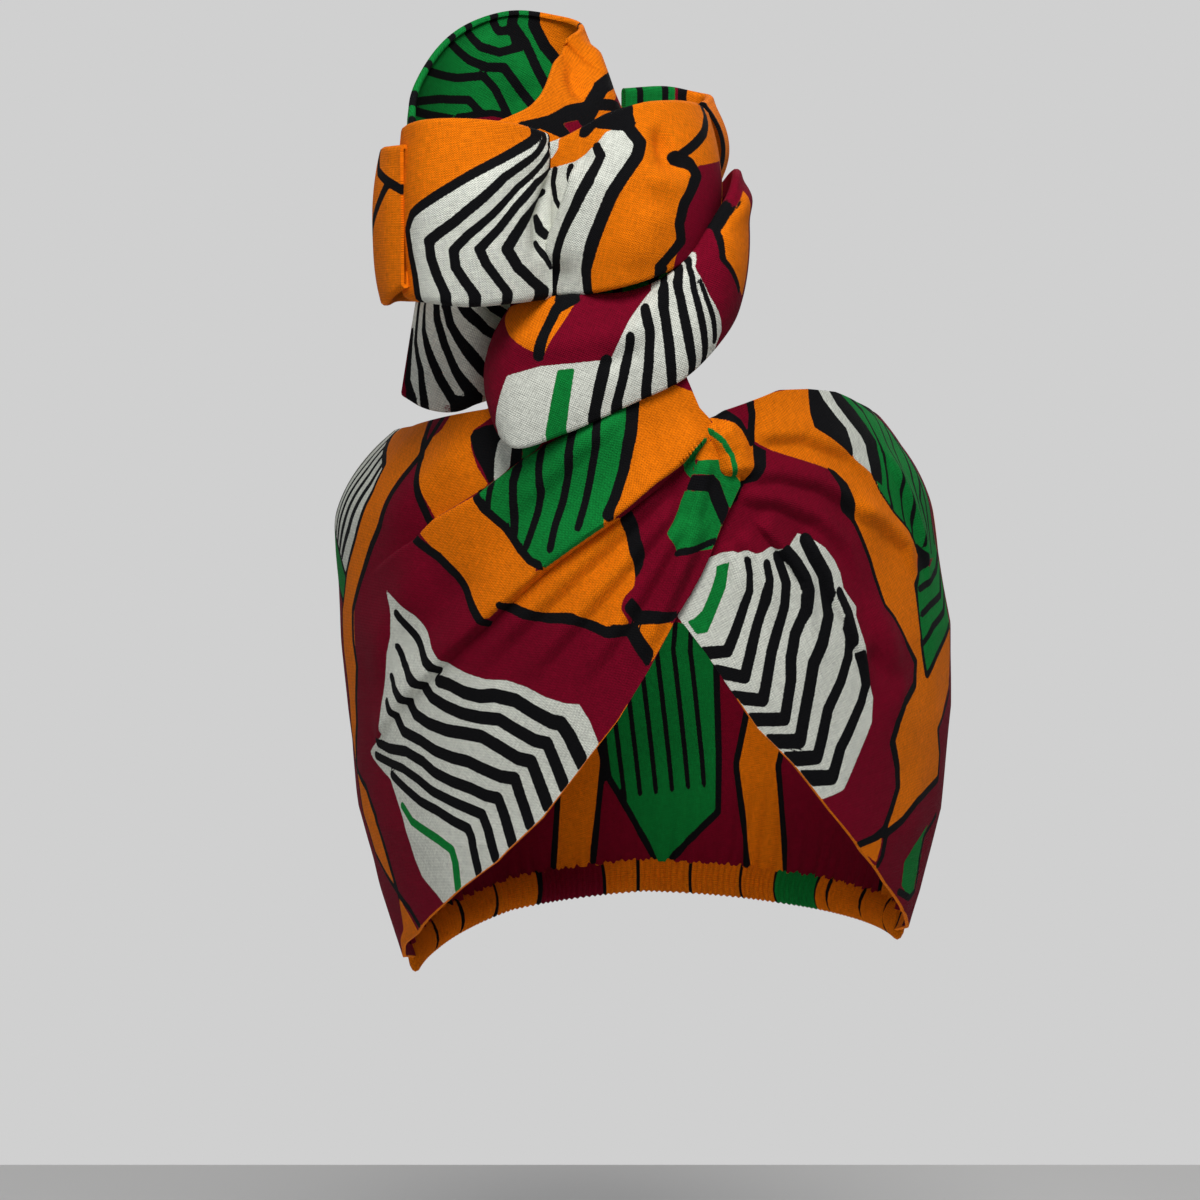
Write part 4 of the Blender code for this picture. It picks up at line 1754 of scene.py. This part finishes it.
COIL_FRONT_PRINT: tuple[Motif, ...] = (
    Patch(Dye.ORANGE, ((-20, 70), (120, 70), (120, 160), (-20, 160)), on=On.CLOTH),
    Patch(Dye.WHITE, (
        (544, 124), (590, 122), (590, 306), (419, 306), (411, 253), (409, 230), (414, 213), (445, 190),
        (479, 170), (514, 151),
    )),
    Line(((546, 124), (541, 133), (514, 152), (479, 171), (445, 191), (414, 214), (409, 230)), 2.4),
    Line(((409, 230), (412, 253), (416, 275), (421, 304)), 2.6),
    Line(((560, 134), (531, 155), (502, 178), (479, 201), (456, 221), (430, 241)), 1.3, 2.7),
    Line(((430, 241), (432, 258), (438, 276), (450, 302)), 2.4, 2.6),
    Line(((560, 142), (537, 164), (514, 189), (491, 215), (468, 235), (454, 250)), 1.2, 2.3),
    Line(((454, 250), (456, 267), (465, 281), (480, 302)), 2.3, 2.6),
    Line(((563, 147), (548, 167), (531, 184), (514, 207), (497, 230), (479, 249)), 1.2, 2.3),
    Line(((479, 249), (486, 264), (497, 279), (512, 299)), 2.3),
    Line(((544, 192), (532, 206), (522, 221), (506, 249)), 2.4, 2.8),
    Line(((506, 249), (517, 267), (531, 281), (545, 292)), 2.8),
    Patch(Dye.INK, ((537, 215), (542, 214), (545, 226), (551, 237), (546, 240), (540, 232))),
    Patch(Dye.INK, ((536, 242), (541, 240), (546, 252), (552, 269), (548, 270), (540, 257))),
)

COIL_RIGHT_PRINT: tuple[Motif, ...] = (
    Patch(Dye.ORANGE, ((-20, 70), (120, 70), (120, 160), (-20, 160)), on=On.CLOTH),
    Patch(Dye.WHITE, (
        (554, 168), (580, 161), (600, 143), (606, 134), (623, 125), (638, 143), (634, 160), (618, 180),
        (606, 205), (592, 241), (580, 300), (535, 300), (535, 172),
    )),
    Patch(Dye.WHITE, ((536, 126), (556, 131), (571, 136), (562, 143), (553, 158), (536, 166))),
    Line(((536, 142), (550, 138), (565, 138)), 1.2, 1.0),
    Line(((536, 158), (548, 149), (557, 147)), 1.2, 1.0),
    Patch(Dye.INK, (
        (524, 127), (554, 112), (582, 103), (601, 103), (632, 112), (636, 124), (620, 132), (596, 129),
        (588, 138), (578, 138), (573, 127), (556, 126),
    )),
    Line(((625, 124), (640, 143), (637, 157), (624, 176), (613, 194), (604, 216), (594, 244), (587, 270),
          (583, 302)), 3.3, 2.5),
    Line(((598, 148), (603, 158), (594, 184), (583, 210), (568, 244), (557, 273), (550, 298)), 2.3),
    Line(((556, 170), (554, 183), (557, 200), (562, 209)), 1.7, 1.4),
    Line(((572, 168), (570, 176), (573, 192)), 2.2, 0.7),
    Line(((706, 112), (702, 134), (690, 148), (677, 157)), 2.4),
    Patch(Dye.CRIMSON, (
        (697, 166), (745, 158), (750, 240), (700, 268), (672, 266), (679, 241), (677, 224), (683, 201),
        (693, 184),
    )),
    Line(((677, 157), (690, 165), (696, 175), (690, 190), (683, 203), (678, 224), (680, 241), (669, 254),
          (658, 266)), 3.6, 2.5),
)

SIDE_LOOP_PRINT: tuple[Motif, ...] = (
    Patch(Dye.ORANGE, ((64, 70), (150, 70), (150, 150), (58, 150)), 2.4, on=On.CLOTH),
    Line(((104, 130), (110, 122), (122, 117), (140, 118)), 2.4, on=On.CLOTH),
    Patch(Dye.CRIMSON, ((80, 112), (103, 108), (96, 99), (84, 95)), on=On.CLOTH),
    Line(((80, 112), (92, 109), (106, 107)), 2.2, on=On.CLOTH),
    Line(((116, 118), (104, 106), (97, 99), (88, 94)), 2.6, on=On.CLOTH),
    *leaf((34, 110), 4.0, 46.0, 24.0),
    *strip(((10, 92), (12, 112), (8, 130)), 6.0),
)

CROWN_FRONT = (0.0, 0.52)
CROWN_REAR = (0.5, 1.0)
CROWN_PRINT: tuple[Motif, ...] = (
    Patch(Dye.GREEN, ((55, 80), (170, 80), (170, 190), (55, 190)), on=On.CLOTH),
    Patch(Dye.ORANGE, ((-10, 80), (52, 80), (58, 108), (66, 126), (64, 150), (70, 190), (-10, 190)),
          on=On.CLOTH),
    Line(((52, 80), (58, 108), (66, 126), (64, 150), (66, 170)), 2.6, on=On.CLOTH),
    Patch(Dye.ORANGE, ((538, -6), (534, 25), (545, 46), (563, 66), (575, 80), (610, 60), (580, -6)),
          stretch=(0.34, 0.72)),
    Line(((404, 127), (416, 119), (445, 118), (462, 121)), 2.4, stretch=CROWN_REAR),
    Line(((412, 103), (439, 99), (468, 100), (484, 117)), 2.3, stretch=CROWN_REAR),
    Line(((426, 84), (456, 78), (482, 76), (494, 89), (506, 112)), 2.3, stretch=CROWN_REAR),
    Line(((446, 48), (468, 60), (485, 67), (502, 68), (514, 83), (533, 106)), 2.5, stretch=CROWN_REAR),
    Line(((462, 35), (479, 47), (497, 53), (519, 48)), 2.3, stretch=CROWN_REAR),
    Line(((486, 12), (497, 32), (512, 30), (516, 46)), 2.4, stretch=CROWN_REAR),
    Line(((508, 3), (511, 23), (525, 43), (537, 69), (550, 92)), 2.6, stretch=CROWN_REAR),
    Patch(Dye.CRIMSON, ((425, 127), (459, 116), (497, 114), (518, 124), (518, 136), (425, 136)),
          stretch=CROWN_REAR),
    Line(((457, 117), (491, 113), (508, 116), (520, 127)), 1.8, stretch=CROWN_REAR),
    Line(((538, -2), (534, 25), (545, 46), (562, 66)), 3.2, stretch=(0.34, 0.8)),
    Patch(Dye.CRIMSON, ((618, 80), (634, 112), (609, 104)), stretch=CROWN_FRONT),
    Patch(Dye.INK, ((536, 128), (554, 114), (582, 104), (600, 107), (593, 120), (590, 138), (560, 138)),
          stretch=CROWN_FRONT),
    Line(((522, 128), (551, 121), (568, 112), (594, 106), (617, 110), (636, 117)), 2.8,
         stretch=CROWN_FRONT),
    Patch(Dye.CRIMSON, ((562, 124), (583, 120), (576, 141)), stretch=CROWN_FRONT),
    Line(((616, 62), (597, 92), (588, 109), (582, 122)), 3.2, stretch=CROWN_FRONT),
)

BACK_LOOP_PRINT: tuple[Motif, ...] = (
    Patch(Dye.ORANGE, ((0, 100), (26, 100), (30, 150), (0, 150)), 2.4, on=On.CLOTH),
    Patch(Dye.GREEN, ((28, 100), (90, 100), (90, 150), (32, 150)), on=On.CLOTH),
    *spread(((38, 104), (34, 150)), ((70, 104), (66, 150)), 5, 2.0),
)

CORE_PRINT: tuple[Motif, ...] = (
    Patch(Dye.GREEN, ((-5, 50), (120, 50), (120, 115), (-5, 115)), on=On.CLOTH),
    *spread(((4, 55), (10, 110)), ((100, 55), (106, 110)), 11, 2.0),
)

ELASTIC_PRINT: tuple[Motif, ...] = (
    Patch(Dye.ORANGE, ((200, -5), (700, -5), (700, 40), (200, 40)), on=On.CLOTH),
    *spread(((250, -5), (262, 40)), ((620, -5), (610, 40)), 12, 2.2),
    Patch(Dye.GREEN, ((330, -5), (360, -5), (366, 40), (334, 40)), 2.0, on=On.CLOTH),
    Patch(Dye.CRIMSON, ((470, -5), (520, -5), (512, 40), (476, 40)), 2.0, on=On.CLOTH),
)


# Sub-assemblies


@dataclass
class Band:
    """The wide band: two wings, the back panel and the nape elastic.

    The left wing lies `crossing` mm over the right one past the angles of `crossing_at`.
    The back panel's two ends go in by `tuck` mm under the wings, over the two distances
    of `tuck_over`, in degrees from its own ends.
    """

    cotton: bpy.types.Material
    crossing: float = 2.0
    crossing_at: tuple[float, float] = (-26.0, -4.0)
    tuck: float = 1.2
    tuck_over: tuple[float, float] = (1.8, 5.0)

    def build(self) -> list[bpy.types.Object]:
        """Makes the four pieces of the band."""
        return [self.left_wing(), self.right_wing(), self.back_panel(), self.elastic()]

    def over(self, angle: Array) -> Array:
        """How far out the left wing lies at each angle."""
        return self.crossing * smooth(*self.crossing_at, angle)

    def under(self, angle: Array) -> Array:
        """How far out the back panel lies.

        Args:
            angle: Degrees round the band.

        Returns:
            The distance at each angle, in mm.
        """
        first, last = BACK_EDGE[0][0], BACK_EDGE[-1][0]
        from_end = (last - first) / 2 - np.abs(angle - (first + last) / 2)
        return -self.tuck * (1 - smooth(*self.tuck_over, from_end))

    def left_wing(self) -> bpy.types.Object:
        """Makes the wing that crosses on top and runs up into the twist.

        Returns:
            The finished piece.
        """
        piece = BandPiece(
            node="left_wing",
            cells=(228, 184),
            held="draped",
            rests_on=("right_wing",),
            grain=38.0,
            edge=LEFT_EDGE,
            layer=self.over,
            folds=LEFT_WING_FOLDS,
            motifs=LEFT_WING_PRINT,
            rumple=Rumple(3),
            tuck=(54.0, 66.0),
        )
        return piece.build(self.cotton)

    def right_wing(self) -> bpy.types.Object:
        """Makes the wing that goes in under the knot.

        Returns:
            The finished piece.
        """
        piece = BandPiece(
            node="right_wing",
            cells=(186, 176),
            held="draped",
            rests_on=("left_wing",),
            grain=-32.0,
            edge=RIGHT_EDGE,
            folds=RIGHT_WING_FOLDS,
            motifs=RIGHT_WING_PRINT,
            rumple=Rumple(5),
        )
        return piece.build(self.cotton)

    def back_panel(self) -> bpy.types.Object:
        """Makes the plain stretch of the band at the back.

        Returns:
            The finished piece.
        """
        piece = BandPiece(
            node="back_panel",
            cells=(230, 110),
            held="stretched",
            rests_on=("nape_elastic",),
            grain=12.0,
            edge=BACK_EDGE,
            layer=self.under,
            shirring=46,
            motifs=BACK_PRINT,
            rumple=Rumple(7, height=0.35, longest=60.0, shortest=18.0),
            hem=0.0,
        )
        return piece.build(self.cotton)

    def elastic(self) -> bpy.types.Object:
        """Makes the shirred casing at the back panel's lower edge.

        Returns:
            The finished piece.
        """
        piece = ElasticPiece(
            node="nape_elastic",
            slot="elastic_casing",
            cells=(1180, 14),
            held="gathered",
            layers=2,
            rests_on=("back_panel",),
            motifs=ELASTIC_PRINT,
        )
        return piece.build(self.cotton)


LOWER_WRAP: Rows = (
    (-42, -94, 63, 87, -5, 3),
    (-36, -107, 54, 88, -4, 3),
    (-22, -111, 58, 90, -2, 3),
    (-6, -110.4, 65, 91, -2, 3),
    (8, -110, 72, 98, -1, 3),
    (18, -101.5, 82, 112, 0, 3),
    (22, -88, 90, 122, 0, 2),
    (19, -74, 92, 118, -1, 2),
    (6, -65, 84, 104, -1, 2),
    (-12, -63, 76, 97, -1, 2),
    (-30, -68, 68, 90, -1, 2),
    (-40, -79, 65, 87, -5, 2),
)
LOWER_WRAP_FOLDS: tuple[Fold, ...] = (
    Fold(((505, 345), (560, 345), (615, 335), (660, 300)), 1.5, 4.0, rise=0.3, fall=0.4),
    Fold(((612, 360), (640, 330), (668, 290), (684, 250)), 1.8, 3.0, rise=0.3, fall=0.3),
    Fold(((600, 372), (622, 352), (640, 345)), -1.4, 3.0, rise=0.3, fall=0.3),
    Fold(((690, 180), (705, 230), (722, 290)), 1.5, 4.0, rise=0.3, fall=0.3),
)
TAIL_FLAP: Rows = (
    (-66, -66, 66, 90.4, -6, 0),
    (-60, -71, 63, 90.4, -3, 1),
    (-53, -73, 62, 90.4, 0, 1),
    (-46.5, -75, 64, 90.4, 0, 1),
    (-40, -69, 66, 90.4, 0, 1),
    (-34, -63, 68, 90.4, 0, 1),
)


@dataclass
class Twist:
    """The upright twist: its wrung core, the ribbon round it and the loose tail."""

    cotton: bpy.types.Material

    def build(self) -> list[bpy.types.Object]:
        """Makes the three pieces of the twist.

        Returns:
            The finished pieces.
        """
        core = CorePiece(
            node="twist_core",
            cells=(150, 60),
            held="gathered",
            rests_on=("left_wing",),
            closed=True,
            motifs=CORE_PRINT,
            rumple=Rumple(9, height=0.1),
        )
        wrap = RibbonPiece(
            node="lower_wrap",
            cells=(300, 66),
            held="gathered",
            rests_on=("twist_core", "left_wing"),
            closed=True,
            grain=24.0,
            sections=LOWER_WRAP,
            motifs=LOWER_WRAP_PRINT,
            shown=(0.0, 0.56),
            folds=LOWER_WRAP_FOLDS,
            rumple=Rumple(13, height=0.2),
        )
        tail = RibbonPiece(
            node="tail_flap",
            cells=(60, 54),
            held="hung",
            rests_on=("side_loop",),
            grain=30.0,
            sections=TAIL_FLAP,
            motifs=TAIL_PRINT,
            rumple=Rumple(15, height=0.12),
        )
        return [piece.build(self.cotton) for piece in (core, wrap, tail)]


COIL_FRONT: Rows = (
    (-62.5, -92, 94, 131, 0, 0),
    (-63, -104, 92, 132, 0, 1),
    (-57, -115, 91, 133, 0, 2),
    (-46, -118, 90, 133, 0, 3),
    (-34, -115, 91, 132, -1, 2),
    (-26, -108, 92, 130, -1, 0),
)
COIL_FRONT_FOLDS: tuple[Fold, ...] = (
    Fold(((560, 138), (510, 170), (470, 205), (440, 240)), 1.4, 4.0, rise=0.1, fall=0.5),
    Fold(((562, 150), (530, 190), (500, 240)), 1.3, 3.0, rise=0.1, fall=0.5),
    Fold(((550, 180), (538, 220), (540, 262)), -1.9, 3.0, rise=0.2, fall=0.2),
)
COIL_RIGHT: Rows = (
    (-34, -103, 93, 126, 0, 0),
    (-25, -105.4, 92, 128, 0, 1),
    (-14, -112, 93, 134, -3, 3),
    (-2, -113, 96, 137, -5, 4),
    (9, -106.5, 101, 138, -6, 4),
    (15, -94, 106, 138, -4, 3),
    (16, -80, 108, 137, -2, 2),
)
COIL_RIGHT_FOLDS: tuple[Fold, ...] = (
    Fold(((579, 158), (574, 192), (564, 217), (551, 244), (554, 274)), 3.2, 8.0, Shape.PLEAT, rise=0.2,
         fall=0.2),
    Fold(((612, 132), (600, 180), (580, 235), (568, 285)), 1.6, 4.0, rise=0.2, fall=0.3),
    Fold(((655, 122), (668, 165), (690, 172)), -2.9, 3.4, rise=0.3, fall=0.3),
    Fold(((640, 180), (665, 178), (690, 180)), 1.9, 3.6, rise=0.3, fall=0.4),
    Fold(((655, 200), (640, 240), (630, 275)), 1.4, 5.0, rise=0.3, fall=0.4),
)
SIDE_LOOP: Rows = (
    (-5, -47, 104, 122, 0, 0),
    (-20, -39, 99, 124, 0, 2),
    (-37, -39, 95, 126, 0, 2),
    (-52, -47, 92, 127, 0, 2),
    (-62.5, -60, 91, 127, 0, 2),
    (-67.5, -75, 91, 126, 0, 2),
    (-69, -87, 90, 126, 0, 2),
    (-69, -97, 90, 127, 0, 2),
    (-66.6, -105.5, 92, 127, 0, 1),
    (-63, -111, 94, 127, 0, 0),
)
CROWN_LOOP: Rows = (
    (-42, -95, 109, 133, -2, 0),
    (-27, -90, 109, 140, -6, 2),
    (-15, -80, 109, 151, -13, 4),
    (-8, -67, 110, 157, -14, 5),
    (-12, -54, 112, 161, -8, 4),
    (-24, -46, 108, 165, -1, 2),
    (-39, -46, 106, 166.5, 1, 1),
    (-54, -55, 106, 159, 0, 1),
    (-62, -72, 106, 145, 0, 1),
    (-62.5, -88, 102, 132, 0, 0),
)
CROWN_FOLDS: tuple[Fold, ...] = (
    Fold(((560, 48), (572, 80), (582, 110)), -2.1, 3.0, rise=0.2, fall=0.3, stretch=CROWN_FRONT),
    Fold(((590, 40), (600, 80), (600, 115)), 1.9, 4.0, rise=0.2, fall=0.3, stretch=CROWN_FRONT),
    Fold(((480, 30), (500, 60), (530, 95)), -1.6, 5.0, rise=0.2, fall=0.3, stretch=CROWN_REAR),
)
BACK_LOOP: Rows = (
    (16.5, -74, 122, 140, -3, 3),
    (17.5, -62, 121, 142, -2, 3),
    (13, -51, 112, 144, 2, 1),
    (4, -49, 106, 146, 1, 0),
    (-7.9, -54.6, 108, 145, 0, 0),
)


@dataclass
class Rosette:
    """The coiled rosette on top: two front coils and three loops behind them."""

    cotton: bpy.types.Material

    def build(self) -> list[bpy.types.Object]:
        """Makes the five pieces of the rosette.

        Returns:
            The finished pieces.
        """
        front = RibbonPiece(
            node="coil_front",
            cells=(126, 76),
            held="folded",
            rests_on=("lower_wrap",),
            grain=-8.0,
            sections=COIL_FRONT,
            folds=COIL_FRONT_FOLDS,
            motifs=COIL_FRONT_PRINT,
            rumple=Rumple(17, height=0.12),
            low_roll=(1.6, 4.0),
        )
        right = RibbonPiece(
            node="coil_right",
            cells=(126, 72),
            held="folded",
            rests_on=("lower_wrap",),
            grain=14.0,
            sections=COIL_RIGHT,
            folds=COIL_RIGHT_FOLDS,
            motifs=COIL_RIGHT_PRINT,
            rumple=Rumple(19, height=0.15),
            top_roll=(1.4, 4.0),
        )
        side = RibbonPiece(
            node="side_loop",
            cells=(200, 60),
            held="folded",
            rests_on=("lower_wrap",),
            sections=SIDE_LOOP,
            motifs=SIDE_LOOP_PRINT,
            rumple=Rumple(21, height=0.15),
        )
        crown = RibbonPiece(
            node="crown_loop",
            cells=(270, 88),
            held="folded",
            rests_on=("twist_core",),
            grain=-20.0,
            sections=CROWN_LOOP,
            lean_power=2.0,
            top_roll=(0.45, 0.4),
            folds=CROWN_FOLDS,
            motifs=CROWN_PRINT,
            rumple=Rumple(23, height=0.2),
        )
        back = RibbonPiece(
            node="back_loop",
            cells=(90, 56),
            held="folded",
            rests_on=("lower_wrap",),
            sections=BACK_LOOP,
            motifs=BACK_LOOP_PRINT,
            rumple=Rumple(25, height=0.15),
        )
        return [piece.build(self.cotton) for piece in (front, right, side, crown, back)]


# The studio


@dataclass
class Studio:
    """Camera at the picture's viewing angle, pale table and soft light.

    Places and sizes are in metres and powers in watts. The room is dim on the camera's
    side and bright behind the wrap, between `dim_from` and `bright_from`.
    """

    table: tuple[float, float, float] = (1.7, 0.8, 0.02)
    table_top: float = -0.268
    table_edge: float = 0.004
    backdrop: str = "D0D0D0"
    dim: str = "75777B"
    dim_from: float = 0.4
    bright_from: float = 0.85
    lamp_size: float = 0.45
    key_place: Place = (0.05, -0.80, 0.80)
    key_power: float = 10.0
    back_place: Place = (0.25, 1.1, 0.9)
    back_power: float = 5.0
    fill_place: Place = (-0.7, -1.2, 0.3)
    fill_power: float = 1.2

    def build(self) -> None:
        """Sets the whole studio up."""
        self._camera()
        self._table()
        self._light("key_light", self.key_place, self.key_power)
        self._light("back_light", self.back_place, self.back_power)
        self._light("fill_light", self.fill_place, self.fill_power)
        bpy.context.scene.world = self._room()
        bpy.context.scene.view_settings.view_transform = "Standard"

    def _room(self) -> bpy.types.World:
        """Makes the pale room, bright behind the wrap and dimmer on the camera's side.

        Returns:
            The world.
        """
        bench = Bench(bpy.data.worlds.new("pale_room"))
        toward = bench.add("ShaderNodeTexCoord", {}, {}, "Generated")
        parts = bench.add("ShaderNodeSeparateXYZ", {}, {0: toward}, "Y")
        settings = {"interpolation_type": "SMOOTHSTEP"}
        inputs = {"Value": parts, "From Min": self.dim_from, "From Max": self.bright_from}
        bright = bench.add("ShaderNodeMapRange", settings, inputs)
        seen = bench.add("ShaderNodeLightPath", {}, {}, "Is Camera Ray")
        inputs = {0: bright, 1: seen}
        pale = bench.add("ShaderNodeMath", {"operation": "MAXIMUM"}, inputs)
        shown = bench.mix(pale, colour(self.dim), colour(self.backdrop))
        shader = bench.add("ShaderNodeBackground", {}, {"Color": shown})
        bench.add("ShaderNodeOutputWorld", {}, {"Surface": shader})
        return bench.owner

    def _camera(self) -> None:
        """Places the camera."""
        lens = bpy.data.cameras.new("camera")
        lens.sensor_fit = "HORIZONTAL"
        lens.sensor_width = VIEW.sensor
        lens.lens = VIEW.focal / VIEW.frame * VIEW.sensor
        camera = bpy.data.objects.new("camera", lens)
        camera.location = VIEW.place() * MM
        camera.rotation_euler = (math.radians(90 - VIEW.tilt), 0, 0)
        bpy.context.scene.collection.objects.link(camera)
        bpy.context.scene.camera = camera

    def _table(self) -> None:
        """Makes the pale table far below the wrap."""
        bpy.ops.object.select_all(action="DESELECT")
        bpy.ops.mesh.primitive_cube_add(size=1, location=(0, 0, self.table_top - self.table[2] / 2))
        table = bpy.context.object
        table.name = "table"
        table.dimensions = self.table
        bpy.ops.object.transform_apply(location=True, rotation=True, scale=True)
        edge = table.modifiers.new("edge", "BEVEL")
        edge.width = self.table_edge
        edge.segments = 3
        bpy.ops.object.modifier_apply(modifier=edge.name)
        table.data.materials.append(StudioPaint().material("pale_table"))

    def _light(self, name: str, place: Place, power: float) -> None:
        """Adds one soft round light aimed at the wrap.

        Args:
            name: Its name.
            place: Where it stands.
            power: Its power.
        """
        lamp = bpy.data.lights.new(name, "AREA")
        lamp.shape = "DISK"
        lamp.size = self.lamp_size
        lamp.energy = power
        light = bpy.data.objects.new(name, lamp)
        light.location = place
        aim = np.array(VIEW.aim) * MM - np.array(place)
        yaw = math.atan2(aim[1], aim[0]) - math.pi / 2
        pitch = math.atan2(aim[2], math.hypot(aim[0], aim[1]))
        light.rotation_euler = (pitch + math.pi / 2, 0, yaw)
        bpy.context.scene.collection.objects.link(light)


def main() -> None:
    """Builds the studio and the wrap, then reports."""
    logging.basicConfig(level=logging.INFO, format="%(message)s")
    Studio().build()
    cotton = PrintedCotton().material("printed_cotton")
    for assembly in (Band(cotton), Twist(cotton), Rosette(cotton)):
        pieces = assembly.build()
        log.info("%s: %s", type(assembly).__name__, ", ".join(piece.name for piece in pieces))


if __name__ == "__main__":
    main()
